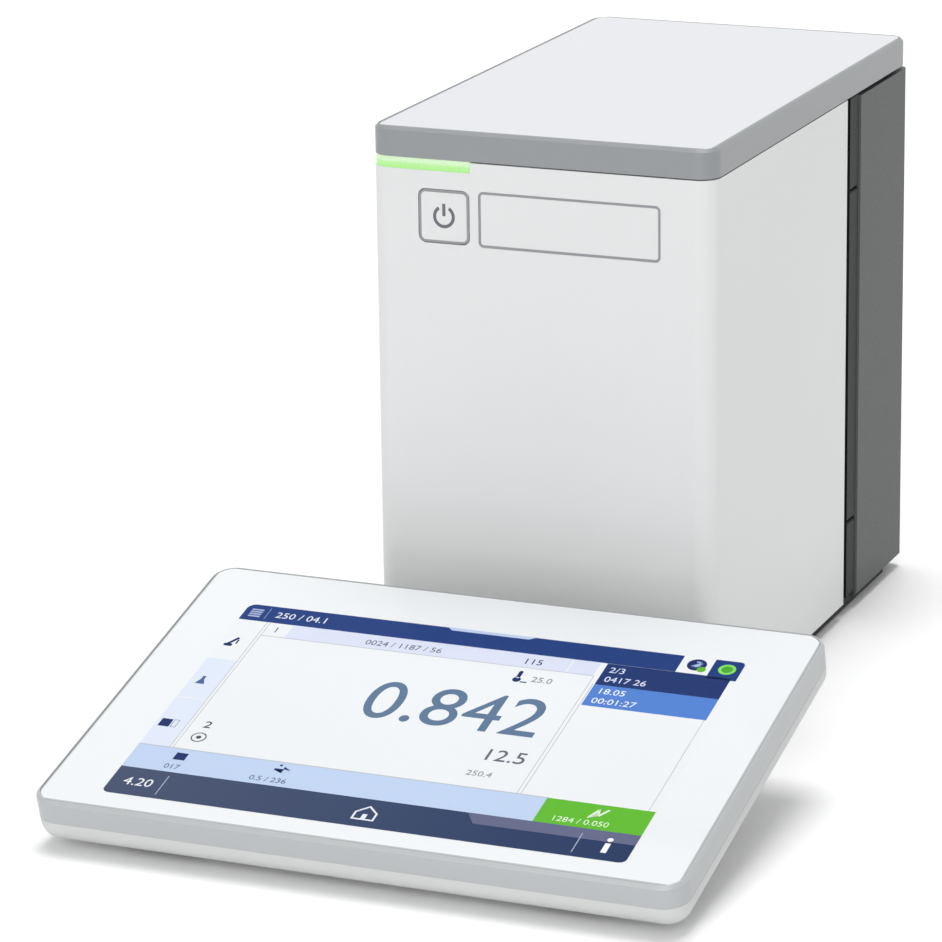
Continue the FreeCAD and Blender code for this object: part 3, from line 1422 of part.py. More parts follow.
def terminal_parts():
    return {
        "cover_glass": make_cover_glass(),
        "terminal_frame": make_terminal_frame(),
        "touch_display": make_touch_display(),
        "lower_shell": make_lower_shell(),
        "terminal_board": make_terminal_board(),
        "terminal_board_screws": make_terminal_board_screws(),
        "shell_screws": make_shell_screws(),
        "buzzer": make_buzzer(),
        "terminal_socket": make_terminal_socket(),
        "left_foot": make_foot(-LEG_X),
        "right_foot": make_foot(LEG_X),
        "foot_pins": make_foot_pins(),
    }


def bench_parts():
    """Rubber that stands on the bench, cut flat where it meets it."""
    pads = [above_bench(place_terminal(pad)).Solids[0] for pad in make_front_pads()]
    return {
        "left_foot_shoe": above_bench(place_terminal(make_foot_shoe(-LEG_X))),
        "right_foot_shoe": above_bench(place_terminal(make_foot_shoe(LEG_X))),
        "front_pads": group(pads),
    }


def main():
    os.makedirs("parts", exist_ok=True)
    shapes = {name: place_tower(shape) for name, shape in tower_parts().items()}
    shapes.update({name: place_terminal(shape) for name, shape in terminal_parts().items()})
    shapes.update(bench_parts())
    for name, shape in shapes.items():
        shape.exportStep("parts/" + name + ".step")
        faults = "" if shape.isValid() else " NOT VALID"
        print(name, len(shape.Solids), "solids", round(shape.Volume), "mm3" + faults)
    print(len(shapes), "nodes, origin shift", origin_shift())


main()
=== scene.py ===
"""Looks of the benchtop conductivity meter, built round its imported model. Metres, +Z up."""

import bpy
import math
from mathutils import Matrix, Vector


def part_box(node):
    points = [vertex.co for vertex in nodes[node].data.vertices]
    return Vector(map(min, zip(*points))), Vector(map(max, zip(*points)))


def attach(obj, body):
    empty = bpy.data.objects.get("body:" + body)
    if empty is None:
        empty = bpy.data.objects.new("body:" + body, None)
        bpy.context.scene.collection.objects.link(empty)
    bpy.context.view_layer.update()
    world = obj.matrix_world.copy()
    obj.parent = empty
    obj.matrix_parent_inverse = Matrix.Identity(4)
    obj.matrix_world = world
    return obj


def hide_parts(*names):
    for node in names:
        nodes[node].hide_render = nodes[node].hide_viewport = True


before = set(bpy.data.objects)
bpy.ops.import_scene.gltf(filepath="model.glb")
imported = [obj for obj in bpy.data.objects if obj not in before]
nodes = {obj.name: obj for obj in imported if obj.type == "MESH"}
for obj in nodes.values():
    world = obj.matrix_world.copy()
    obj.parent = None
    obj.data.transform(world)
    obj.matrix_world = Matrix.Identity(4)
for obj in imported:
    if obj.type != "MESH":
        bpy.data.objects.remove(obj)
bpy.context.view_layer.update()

MM = 0.001

# Camera: place in metres, turn in degrees, focal length and optical centre in the photograph's pixels
IMAGE_PX = 942
CAMERA_PLACE = (0.468225, -1.183403, 0.449005)
CAMERA_YAW = 21.526
CAMERA_PITCH = 14.979
CAMERA_ROLL = -0.402
FOCAL_PX = 4384.2
CENTRE_X_PX = 580.6
CENTRE_Y_PX = 355.8
SENSOR_MM = 36.0
SIGHT_END = 20

# Plain near-white light: ambient level, then each sun's direction towards the light, strength and width
WORLD_LEVEL = 0.34
SUN_TOP = (-0.02, 0.16, 1.0)
SUN_TOP_LEVEL = 0.6
SUN_TOP_ANGLE = 32
SUN_FRONT = (0.12, -1.0, 0.45)
SUN_FRONT_LEVEL = 0.31
SUN_FRONT_ANGLE = 50

# Floor: half its width in metres, colour, and the little light that only direct sight adds to it
FLOOR_HALF = 6.0
FLOOR_WHITE = (253, 253, 253)
FLOOR_LIFT = 0.06

# Colours of the pieces as sRGB values out of 255
WHITE_PLASTIC = (233, 234, 234)
SHELL_WHITE = (213, 215, 214)
PLATE_WHITE = (222, 224, 228)
GLASS_WHITE = (234, 237, 239)
SATIN_GREY = (150, 153, 155)
FRAME_GREY = (184, 187, 189)
DARK_MOULDING = (28, 30, 31)
BLACK_MOULDING = (34, 35, 36)
COVER_GREY = (72, 76, 76)
PANEL_GREY = (150, 153, 155)
MODULE_GREY = (204, 206, 207)
BOARD_GREEN = (26, 92, 52)
SWITCH_BLACK = (44, 44, 46)
LENS_WHITE = (236, 240, 224)
STEEL_GREY = (172, 173, 174)
BRASS = (196, 160, 92)
ALUMINIUM = (190, 192, 194)
NICKEL = (196, 194, 186)
CONTACT_METAL = (204, 194, 168)
CONTACT_GOLD = (212, 178, 96)
INSULATOR_IVORY = (226, 224, 214)
TONGUE_BLACK = (30, 31, 32)
SOCKET_BLACK = (36, 37, 38)
RUBBER_BLACK = (46, 46, 47)
DISPLAY_GREY = (60, 61, 64)
# Painted shade laid in the grooves in front of the side strips
GROOVE_PAINTED_SHADE = (12, 13, 13)
# Painted shade standing in for the hollows of the screws' cross recesses
RECESS_PAINTED_SHADE = (46, 47, 48)
OUTLINE_GREY = (150, 153, 156)
SYMBOL_GREY = (104, 108, 114)

# Light strip: share of its height and colour there, from its foot up
STRIP_STOPS = (
    (0.0, (152, 212, 122)),
    (0.5, (166, 214, 140)),
    (0.62, (186, 216, 172)),
    (1.0, (192, 214, 180)),
)
STRIP_GLOW = 0.4

# Colours of the screen picture
SCREEN_WHITE = (232, 235, 238)
HEADER_BLUE = (24, 57, 122)
NAVY = (24, 50, 108)
MID_BLUE = (80, 126, 204)
PALE_BLUE = (188, 206, 234)
DARK_BLUE = (24, 44, 100)
ROW_LILAC = (214, 220, 238)
TAB_GREY = (218, 226, 240)
LINE_GREY = (186, 190, 196)
BAR_LEFT = (66, 78, 106)
BAR_MIDDLE = (50, 66, 100)
BAR_RIGHT = (34, 54, 94)
BAR_TAB = (98, 103, 134)
BAR_LINE = (176, 184, 204)
BAR_TEXT = (232, 235, 242)
SCREEN_GREEN = (96, 182, 48)
READING_BLUE = (92, 118, 148)
TEXT_GREY = (96, 104, 114)
FAINT_TEXT = (140, 146, 154)
HEADER_TEXT = (226, 233, 246)
HEADER_LINE = (150, 168, 208)
MENU_BLUE = (164, 180, 214)
SAMPLE_TEXT = (214, 224, 242)
TIMER_TEXT = (232, 240, 252)
STATUS_BLUE = (160, 184, 226)
RING_GREEN = (128, 220, 84)
CORE_GREEN = (70, 168, 40)
BEAKER_BLUE = (70, 96, 150)
SHEET_BLUE = (120, 136, 166)
MODE_TEXT = (60, 66, 74)
MODE_RING = (72, 78, 86)
ACTION_TEXT = (92, 104, 132)
START_MARK = (226, 240, 218)
START_TEXT = (222, 244, 208)
HOME_WHITE = (226, 231, 240)
INFO_WHITE = (244, 246, 250)

# Surfaces: patches of shade and grains per metre, and what several finishes share
SHADE_SCALE = 14.0
GRAIN_SCALE = 1800.0
GRAIN_DEPTH = 0.0002
COAT_ROUGH = 0.04
MIN_ROUGH = 0.02
NOISE_LOW = 0.25
NOISE_HIGH = 0.75
SATIN = {"metal": 0.2, "grain": 0.03, "grain_scale": 3000, "shine": 0.4}
MOULDED = {"grain": 0.12, "grain_scale": 1400}
PAINTED = {"grain": 0.2, "grain_scale": 1100}
SMOOTH = {"grain": 0.0, "shade": 0.01, "rough_spread": 0.02}
SCREEN_ROUGH = 0.16
SCREEN_SHINE = 0.08

# Nodes that share a finish
BLACK_NODES = ("lid_frame", "chassis", "left_side_frame", "right_side_frame")
ROUND_PORTS = ("stirrer_port", "terminal_port")
BLACK_SOCKETS = (
    "reference_socket",
    "dc_inlet",
    "conductivity_socket",
    "lan_socket",
    "terminal_socket",
    *ROUND_PORTS,
)
NICKEL_SOCKETS = ("ph_socket", "usb_host_socket", "usb_device_socket")
RUBBER_NODES = ("tower_feet", "front_pads", "left_foot_shoe", "right_foot_shoe")

# All that follows is in millimetres. Grey line round the top plate and the glass
PLATE_RIM = 0.9
GLASS_RIM = 0.7

# Side strips: how far they come out and up from the solids, and the depth that counts as their end
STRIP_OUT = 1.2
STRIP_RISE = 5.3
STRIP_END = 0.6

# Prints on the front: thickness, width of the outlines, and the power symbol with its gap in degrees
PRINT_T = 0.03
PRINT_SINK = 0.02
LINE_W = 0.7
FIELD_R = 1.5
KEY_HALF = 7.95
KEY_R = 2.1
KEY_FACE_DEPTH = 0.05
SYMBOL_R = 3.5
SYMBOL_W = 1.0
SYMBOL_GAP = 32
SYMBOL_BAR_LOW = 0.05
SYMBOL_BAR_HIGH = 1.12

# Cross recesses of the rear screws, drawn flat in painted shade
SCREW_HEAD_R = 2.75
CROSS_REACH = 1.7
CROSS_HALF = 0.4
CROSS_SINK = 0.01

# Contacts in the sockets
COND_PIN_R = 0.5
COND_RING_R = 3.4
PORT_PIN_R = 0.4
PORT_RING_R = 2.6
PORT_PIN_ANGLES = (20, 65, 115, 160, 205, 250, 290, 335)
LAN_PITCH = 1.02
LAN_WIRES = 8

# Layers of the screen picture above the glass
BASE_LAYER = 0.03
PANEL_LAYER = 0.06
MARK_LAYER = 0.09
TOP_LAYER = 0.12

# Straight runs in a quarter of a round outline
ARC_STEPS = 10

# Figures: share of the type size that they are high, and the height from which they are drawn finer
FIGURE_SHARE = 0.69
BIG_FIGURES = 5.0
FIGURE_STEPS = 3
BIG_FIGURE_STEPS = 8

# Main lines of the screen picture, from the middle of the glass's front edge
LEFT = -78.0
RIGHT = 78.0
TOP = 107.9
BOTTOM = 7.3
HEADER_Y = 99.4
ROW_Y = 92.4
TAB_X = -68.2
FIELD_X = TAB_X + 0.7
FIELD_RIGHT = 37.0
ACTION_TOP = 31.8
ACTION_Y = 20.3
PANEL_X = 39.0
PANEL_RIGHT = 76.4
SAMPLE_Y = 88.3
TIMER_Y = 77.4
GREEN_X = 46.4
BAR_TAB_Y = 15.6


def srgb(rgb):
    """Linear colour from sRGB values out of 255."""
    return tuple(((c / 255 + 0.055) / 1.055) ** 2.4 if c > 10 else c / 255 / 12.92 for c in rgb)


# Materials


def noise(tree, coords, scale, detail=3.0):
    node = tree.nodes.new("ShaderNodeTexNoise")
    node.inputs["Scale"].default_value = scale
    node.inputs["Detail"].default_value = detail
    tree.links.new(coords.outputs["Object"], node.inputs["Vector"])
    return node


def remap(tree, source, low, high):
    """Spreads a noise between two values."""
    node = tree.nodes.new("ShaderNodeMapRange")
    node.inputs["From Min"].default_value = NOISE_LOW
    node.inputs["From Max"].default_value = NOISE_HIGH
    node.inputs["To Min"].default_value = low
    node.inputs["To Max"].default_value = high
    tree.links.new(source, node.inputs["Value"])
    return node.outputs["Result"]


def mixed(tree, factor, a, b):
    node = tree.nodes.new("ShaderNodeMix")
    node.data_type = "RGBA"
    tree.links.new(factor, node.inputs["Factor"])
    node.inputs["A"].default_value = (*a, 1)
    node.inputs["B"].default_value = (*b, 1)
    return node.outputs["Result"]


def calculated(tree, operation, *values):
    """A maths node whose inputs are sockets or plain numbers."""
    node = tree.nodes.new("ShaderNodeMath")
    node.operation = operation
    for value, socket in zip(values, node.inputs):
        if isinstance(value, bpy.types.NodeSocket):
            tree.links.new(value, socket)
        else:
            socket.default_value = value
    return node.outputs["Value"]


def object_place(tree):
    """Place on the object, with an output for each axis."""
    coords = tree.nodes.new("ShaderNodeTexCoord")
    split = tree.nodes.new("ShaderNodeSeparateXYZ")
    tree.links.new(coords.outputs["Object"], split.inputs["Vector"])
    return split.outputs


def finish(
    name,
    rgb,
    rough,
    metal=0.0,
    grain=0.02,
    grain_scale=GRAIN_SCALE,
    shade=0.03,
    rough_spread=0.06,
    coat=0.0,
    shine=0.5,
):
    """A surface with a fine grain, a slow change of shade and uneven roughness."""
    made = bpy.data.materials.new(name)
    made.use_nodes = True
    tree = made.node_tree
    shader = tree.nodes["Principled BSDF"]
    shader.inputs["Metallic"].default_value = metal
    shader.inputs["Specular IOR Level"].default_value = shine
    shader.inputs["Coat Weight"].default_value = coat
    shader.inputs["Coat Roughness"].default_value = COAT_ROUGH
    coords = tree.nodes.new("ShaderNodeTexCoord")
    base = srgb(rgb)
    dark = tuple(c * (1 - shade) for c in base)
    light = tuple(min(1.0, c * (1 + shade)) for c in base)
    slow = noise(tree, coords, SHADE_SCALE)
    tree.links.new(mixed(tree, slow.outputs["Fac"], dark, light), shader.inputs["Base Color"])
    fine = noise(tree, coords, grain_scale)
    spread = remap(tree, fine.outputs["Fac"], max(MIN_ROUGH, rough - rough_spread), rough + rough_spread)
    tree.links.new(spread, shader.inputs["Roughness"])
    bump = tree.nodes.new("ShaderNodeBump")
    bump.inputs["Strength"].default_value = grain
    bump.inputs["Distance"].default_value = GRAIN_DEPTH
    tree.links.new(fine.outputs["Fac"], bump.inputs["Height"])
    tree.links.new(bump.outputs["Normal"], shader.inputs["Normal"])
    return made


def graded(name, axis, start, end, stops, rough, glow=0.0, shine=0.5):
    """A colour that changes along one axis of the object, from start to end in metres."""
    made = finish(name, stops[0][1], rough, grain=0.0, shine=shine)
    tree = made.node_tree
    shader = tree.nodes["Principled BSDF"]
    span = tree.nodes.new("ShaderNodeMapRange")
    span.inputs["From Min"].default_value = start
    span.inputs["From Max"].default_value = end
    tree.links.new(object_place(tree)[axis], span.inputs["Value"])
    ramp = tree.nodes.new("ShaderNodeValToRGB")
    while len(ramp.color_ramp.elements) < len(stops):
        ramp.color_ramp.elements.new(0.5)
    for element, (place, rgb) in zip(ramp.color_ramp.elements, stops):
        element.position = place
        element.color = (*srgb(rgb), 1)
    tree.links.new(span.outputs["Result"], ramp.inputs["Fac"])
    tree.links.new(ramp.outputs["Color"], shader.inputs["Base Color"])
    if glow:
        tree.links.new(ramp.outputs["Color"], shader.inputs["Emission Color"])
        shader.inputs["Emission Strength"].default_value = glow
    return made


def edged(made, node, width, rgb):
    """A line of another colour round the outline of a node, as wide as given, in millimetres."""
    tree = made.node_tree
    low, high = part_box(node)
    place = object_place(tree)
    sides = []
    for axis, start, end in (("X", low.x, high.x), ("Y", low.y, high.y)):
        reach = (end - start) / 2 - width * MM
        sides.append(calculated(tree, "COMPARE", place[axis], (start + end) / 2, reach))
    inside = calculated(tree, "MULTIPLY", *sides)
    shader = tree.nodes["Principled BSDF"]
    plain = shader.inputs["Base Color"].links[0].from_socket
    blend = mixed(tree, inside, srgb(rgb), srgb(rgb))
    tree.links.new(plain, blend.node.inputs["B"])
    tree.links.new(blend, shader.inputs["Base Color"])
    return made


def dress(material, *names):
    for name in names:
        slots = nodes[name].data.materials
        slots.clear()
        slots.append(material)


# Faces that pieces are laid on, as matrices from millimetres on the face to metres


def face_matrix(origin, across, up, out):
    turn = Matrix((across, up, out)).transposed().to_4x4()
    return Matrix.Translation(origin) @ turn @ Matrix.Scale(MM, 4)


def glass_face():
    """Top of the terminal's glass: origin at the middle of its front edge, y back along it."""
    mesh = nodes["cover_glass"].data
    out = max(mesh.polygons, key=lambda f: f.area * (f.normal.z > 0)).normal.copy()
    back = Vector((0, out.z, -out.y))
    points = [v.co for v in mesh.vertices]
    low = min(p.dot(back) for p in points)
    top = max(p.dot(out) for p in points)
    return face_matrix(back * low + out * top, Vector((1, 0, 0)), back, out)


def upright_face(origin):
    """Upright face that looks to the front, y up."""
    return face_matrix(origin, Vector((1, 0, 0)), Vector((0, 0, 1)), Vector((0, -1, 0)))


def front_face(node):
    """Front of an upright node: origin at the middle of its box, y up."""
    low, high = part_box(node)
    return upright_face(Vector(((low.x + high.x) / 2, low.y, (low.z + high.z) / 2)))


def rear_face(node):
    """Rear of a node, as seen from behind: origin at the middle of its box, y up."""
    low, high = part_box(node)
    origin = Vector(((low.x + high.x) / 2, high.y, (low.z + high.z) / 2))
    return face_matrix(origin, Vector((-1, 0, 0)), Vector((0, 0, 1)), Vector((0, 1, 0)))


def key_face():
    """Front of the power key, without its collar."""
    low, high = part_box("power_button")
    points = [v.co for v in nodes["power_button"].data.vertices if v.co.y < low.y + KEY_FACE_DEPTH * MM]
    x = [p.x for p in points]
    z = [p.z for p in points]
    return upright_face(Vector(((min(x) + max(x)) / 2, low.y, (min(z) + max(z)) / 2)))


# Outlines in millimetres


def arc(cx, cy, r, start, end, steps=ARC_STEPS):
    turns = [math.radians(start + (end - start) * i / steps) for i in range(steps + 1)]
    return [(cx + r * math.cos(t), cy + r * math.sin(t)) for t in turns]


def circle(cx, cy, r):
    return arc(cx, cy, r, 0, 360, 4 * ARC_STEPS)[:-1]


def ring(cx, cy, outer, inner):
    return [circle(cx, cy, outer), circle(cx, cy, inner)]


def pin_ring(angles, ring_r, pin_r):
    """Round pins on a circle, at angles in degrees."""
    turns = [math.radians(a) for a in angles]
    return [circle(ring_r * math.cos(t), ring_r * math.sin(t), pin_r) for t in turns]


def rectangle(x0, y0, x1, y1, r=0.0, corners=(1, 1, 1, 1)):
    """A rectangle whose corners may be rounded: lower left, lower right, upper right, upper left."""
    places = ((x0, y0, 1, 1, 180), (x1, y0, -1, 1, 270), (x1, y1, -1, -1, 0), (x0, y1, 1, -1, 90))
    points = []
    for (x, y, sx, sy, start), rounded in zip(places, corners):
        if r and rounded:
            points += arc(x + sx * r, y + sy * r, r, start, start + 90)
        else:
            points.append((x, y))
    return points


def outline(half_w, half_h, r, width):
    """A rounded frame about the origin, with lines of some width."""
    outer = rectangle(-half_w, -half_h, half_w, half_h, r)
    inner = rectangle(-half_w + width, -half_h + width, half_w - width, half_h - width, r - width)
    return [outer, inner]


def stroke(x0, y0, x1, y1, width):
    """A straight line of some width."""
    run = Vector((x1 - x0, y1 - y0))
    side = Vector((-run.y, run.x)).normalized() * (width / 2)
    ends = ((x0, y0, 1), (x1, y1, 1), (x1, y1, -1), (x0, y0, -1))
    return [(x + side.x * s, y + side.y * s) for x, y, s in ends]


def arc_band(cx, cy, outer, inner, start, end):
    return arc(cx, cy, outer, start, end, 3 * ARC_STEPS) + arc(cx, cy, inner, end, start, 3 * ARC_STEPS)


def cross_outline(reach, half):
    """Outline of a cross with four equal arms."""
    quarter = [(reach, -half), (reach, half), (half, half)]
    points = []
    for _ in range(4):
        points += quarter
        quarter = [(-y, x) for x, y in quarter]
    return points


# Pieces


def keep(obj, matrix, body, material):
    """Turns a flat curve or text into a mesh on its face, riding on its body."""
    bpy.context.scene.collection.objects.link(obj)
    bpy.context.view_layer.update()
    mesh = bpy.data.meshes.new_from_object(obj)
    name = obj.name
    bpy.data.objects.remove(obj)
    mesh.transform(matrix)
    mesh.materials.clear()
    mesh.materials.append(material)
    piece = bpy.data.objects.new(name, mesh)
    bpy.context.scene.collection.objects.link(piece)
    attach(piece, body)
    return piece


def lay(name, face, outlines, top, material, body, bottom=-PRINT_SINK):
    """A thin closed plate with the given outlines, in millimetres on a face."""
    curve = bpy.data.curves.new(name, "CURVE")
    curve.dimensions = "2D"
    curve.fill_mode = "BOTH"
    curve.extrude = (top - bottom) / 2
    for points in outlines:
        spline = curve.splines.new("POLY")
        spline.points.add(len(points) - 1)
        for point, (x, y) in zip(spline.points, points):
            point.co = (x, y, 0, 1)
        spline.use_cyclic_u = True
    matrix = face @ Matrix.Translation((0, 0, (top + bottom) / 2))
    return keep(bpy.data.objects.new(name, curve), matrix, body, material)


def write(name, face, lines, top, material, body, stretch=1.0):
    """Numbers as thin plates: each line has its text, left end, foot and height of its figures."""
    made = []
    for text, x, y, height in lines:
        curve = bpy.data.curves.new(name, "FONT")
        curve.body = text
        curve.size = height / FIGURE_SHARE
        curve.extrude = (top + PRINT_SINK) / 2
        curve.resolution_u = FIGURE_STEPS if height < BIG_FIGURES else BIG_FIGURE_STEPS
        place = Matrix.Translation((x, y, (top - PRINT_SINK) / 2))
        matrix = face @ place @ Matrix.Diagonal((stretch, 1, 1, 1))
        made.append(keep(bpy.data.objects.new(name, curve), matrix, body, material))
    return joined(made)


def joined(pieces):
    """One object from several of the same material and body."""
    first = pieces[0]
    if len(pieces) > 1:
        with bpy.context.temp_override(active_object=first, selected_editable_objects=pieces):
            bpy.ops.object.join()
    return first


# Camera, light and floor


def make_camera():
    yaw = math.radians(CAMERA_YAW)
    pitch = math.radians(CAMERA_PITCH)
    roll = math.radians(CAMERA_ROLL)
    forward = Vector((-math.sin(yaw) * math.cos(pitch), math.cos(yaw) * math.cos(pitch), -math.sin(pitch)))
    level = Vector((math.cos(yaw), math.sin(yaw), 0))
    rise = level.cross(forward)
    right = level * math.cos(roll) + rise * math.sin(roll)
    up = rise * math.cos(roll) - level * math.sin(roll)
    data = bpy.data.cameras.new("camera")
    data.sensor_width = SENSOR_MM
    data.lens = SENSOR_MM * FOCAL_PX / IMAGE_PX
    data.shift_x = (IMAGE_PX / 2 - CENTRE_X_PX) / IMAGE_PX
    data.shift_y = (CENTRE_Y_PX - IMAGE_PX / 2) / IMAGE_PX
    data.clip_end = SIGHT_END
    camera = bpy.data.objects.new("camera", data)
    turn = Matrix((right, up, -forward)).transposed().to_4x4()
    camera.matrix_world = Matrix.Translation(CAMERA_PLACE) @ turn
    bpy.context.scene.collection.objects.link(camera)
    bpy.context.scene.camera = camera


def make_sun(name, towards, level, angle):
    data = bpy.data.lights.new(name, "SUN")
    data.energy = level * math.pi
    data.angle = math.radians(angle)
    sun = bpy.data.objects.new(name, data)
    sun.rotation_euler = Vector(towards).to_track_quat("Z", "Y").to_euler()
    bpy.context.scene.collection.objects.link(sun)


def seen_directly(tree):
    """One where a ray from the camera, a reflection or glass looks straight at this."""
    path = tree.nodes.new("ShaderNodeLightPath")
    total = path.outputs["Is Camera Ray"]
    for other in ("Is Glossy Ray", "Is Transmission Ray"):
        total = calculated(tree, "MAXIMUM", total, path.outputs[other])
    return total


def make_world():
    world = bpy.data.worlds.new("studio")
    world.use_nodes = True
    tree = world.node_tree
    shade = tree.nodes["Background"]
    strength = tree.nodes.new("ShaderNodeMapRange")
    strength.inputs["To Min"].default_value = WORLD_LEVEL
    strength.inputs["To Max"].default_value = 1.0
    tree.links.new(seen_directly(tree), strength.inputs["Value"])
    tree.links.new(strength.outputs["Result"], shade.inputs["Strength"])
    shade.inputs["Color"].default_value = (1, 1, 1, 1)
    bpy.context.scene.world = world


def make_floor():
    mesh = bpy.data.meshes.new("floor")
    corners = [(x * FLOOR_HALF, y * FLOOR_HALF, 0) for x, y in ((-1, -1), (1, -1), (1, 1), (-1, 1))]
    mesh.from_pydata(corners, [], [(0, 1, 2, 3)])
    floor = bpy.data.objects.new("floor", mesh)
    paint = finish("floor", FLOOR_WHITE, 0.6, shade=0.0, grain=0.0)
    tree = paint.node_tree
    shader = tree.nodes["Principled BSDF"]
    shader.inputs["Emission Color"].default_value = (1, 1, 1, 1)
    lift = calculated(tree, "MULTIPLY", seen_directly(tree), FLOOR_LIFT)
    tree.links.new(lift, shader.inputs["Emission Strength"])
    mesh.materials.append(paint)
    bpy.context.scene.collection.objects.link(floor)


# The object's own surfaces


def dress_tower():
    boards = tuple(n for n in nodes if n.endswith("_board"))
    screws = tuple(n for n in nodes if n.endswith("_screws"))
    # Each row: finish, colour, roughness, what else it takes, and the nodes that wear it
    rows = (
        ("white plastic", WHITE_PLASTIC, 0.42, {"grain": 0.05}, ("housing", "name_plate", "power_button")),
        ("satin band", SATIN_GREY, 0.36, SATIN, ("top_band",)),
        ("black moulding", BLACK_MOULDING, 0.5, {"grain": 0.1}, BLACK_NODES),
        ("cover moulding", COVER_GREY, 0.44, {**MOULDED, "shine": 0.3}, ("rear_cover",)),
        ("panel paint", PANEL_GREY, 0.45, PAINTED, ("rear_panel",)),
        ("module paint", MODULE_GREY, 0.4, PAINTED, ("conductivity_plate", "ph_plate")),
        ("solder mask", BOARD_GREEN, 0.35, {"shade": 0.15, "coat": 0.2}, boards),
        ("switch plastic", SWITCH_BLACK, 0.45, {}, ("power_switch", "switch_plunger", "buzzer")),
        ("led lens", LENS_WHITE, 0.2, {"coat": 0.3}, ("front_leds",)),
        ("screw steel", STEEL_GREY, 0.3, {"metal": 0.9, "grain": 0.05}, (*screws, "foot_pins")),
        ("spacer brass", BRASS, 0.3, {"metal": 0.9}, ("main_board_spacers",)),
        ("sink aluminium", ALUMINIUM, 0.32, {"metal": 0.9, "grain": 0.05}, ("processor_sink",)),
        ("nickel", NICKEL, 0.22, {"metal": 0.95}, NICKEL_SOCKETS),
        ("contact metal", CONTACT_METAL, 0.24, {"metal": 0.95}, ("temperature_sockets",)),
        ("socket plastic", SOCKET_BLACK, 0.45, {"grain": 0.08}, BLACK_SOCKETS),
        ("rubber", RUBBER_BLACK, 0.8, {"grain": 0.25, "grain_scale": 2200}, RUBBER_NODES),
    )
    for name, rgb, rough, others, dressed in rows:
        dress(finish(name, rgb, rough, **others), *dressed)
    plate = finish("top plate", PLATE_WHITE, 0.36, grain=0.02, shine=0.4)
    dress(edged(plate, "top_plate", PLATE_RIM, SATIN_GREY), "top_plate")
    dark = finish("dark moulding", DARK_MOULDING, 0.5, **MOULDED, shine=0.15)
    dress(dark, "base_tray")
    make_strips(dark)
    low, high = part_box("light_guide")
    dress(graded("lit strip", "Z", low.z, high.z, STRIP_STOPS, 0.3, glow=STRIP_GLOW), "light_guide")


def make_strips(material):
    """Side strips brought out nearly level with the walls and up to the band, with painted groove shade: a
    black sheet on their front where the groove lies in shade.
    """
    # Painted shade: a black sheet across the front of each strip stands in for the shade deep in the groove
    black = finish("groove shade", GROOVE_PAINTED_SHADE, 0.6, grain=0.0, shine=0.2)
    for side, node in ((-1, "left_strips"), (1, "right_strips")):
        low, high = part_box(node)
        mesh = nodes[node].data.copy()
        inner = min(abs(v.co.x) for v in mesh.vertices)
        top = max(v.co.z for v in mesh.vertices) - STRIP_END * MM
        for v in mesh.vertices:
            if abs(v.co.x) > inner + STRIP_END * MM:
                v.co.x += side * STRIP_OUT * MM
            if v.co.z > top:
                v.co.z += STRIP_RISE * MM
        mesh.materials.clear()
        mesh.materials.append(material)
        strips = bpy.data.objects.new(node + "_outer", mesh)
        bpy.context.scene.collection.objects.link(strips)
        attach(strips, "tower")
        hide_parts(node)
        outer = max(abs(v.co.x) for v in mesh.vertices)
        x0, x1 = sorted((side * inner / MM, side * outer / MM))
        wall = rectangle(x0, low.z / MM, x1, high.z / MM + STRIP_RISE)
        face = upright_face(Vector((0, low.y, 0)))
        lay(node + "_groove_painted_shade", face, [wall], PRINT_T, black, "tower")


def dress_terminal():
    glass = finish("printed glass", GLASS_WHITE, 0.08, **SMOOTH)
    dress(edged(glass, "cover_glass", GLASS_RIM, FRAME_GREY), "cover_glass")
    dress(finish("satin frame", FRAME_GREY, 0.36, **SATIN), "terminal_frame")
    shell = finish("white shell", SHELL_WHITE, 0.5, grain=0.05, shine=0.2)
    dress(shell, "lower_shell", "left_foot", "right_foot")
    dress(finish("display back", DISPLAY_GREY, 0.4), "touch_display")


def make_front_prints():
    """Grey outlines round the power button and the bare field, and the power symbol."""
    grey = finish("outline print", OUTLINE_GREY, 0.5, grain=0.02)
    low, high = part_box("name_plate")
    field = outline((high.x - low.x) / 2 / MM, (high.z - low.z) / 2 / MM, FIELD_R, LINE_W)
    lay("field_outline", front_face("name_plate"), field, PRINT_T, grey, "tower")
    face = key_face()
    key = outline(KEY_HALF, KEY_HALF, KEY_R, LINE_W)
    lay("key_outline", face, key, PRINT_T, grey, "power_key")
    symbol = finish("symbol print", SYMBOL_GREY, 0.5, grain=0.02)
    band = arc_band(0, 0, SYMBOL_R, SYMBOL_R - SYMBOL_W, 90 + SYMBOL_GAP, 450 - SYMBOL_GAP)
    bar = stroke(0, SYMBOL_R * SYMBOL_BAR_LOW, 0, SYMBOL_R * SYMBOL_BAR_HIGH, SYMBOL_W)
    lay("power_symbol", face, [band, bar], PRINT_T, symbol, "power_key")


def make_screw_recess_shade():
    """Dark crosses of painted shade for the recesses on the heads of the screws that show from outside."""
    # Painted shade: flat dark crosses stand in for the shade inside the recesses
    shade = finish("recess shade", RECESS_PAINTED_SHADE, 0.6, metal=0.4)
    cross = cross_outline(CROSS_REACH, CROSS_HALF)
    for node in ("rear_cover_screws", "rear_panel_screws"):
        low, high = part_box(node)
        face = rear_face(node)
        half_x = (high.x - low.x) / 2 / MM - SCREW_HEAD_R
        half_z = (high.z - low.z) / 2 / MM - SCREW_HEAD_R
        for i, (sx, sz) in enumerate(((-1, -1), (1, -1), (1, 1), (-1, 1))):
            arms = [(a + sx * half_x, b + sz * half_z) for a, b in cross]
            name = "%s_recess_%d" % (node, i)
            lay(name, face, [arms], PRINT_T, shade, "tower", -CROSS_SINK)


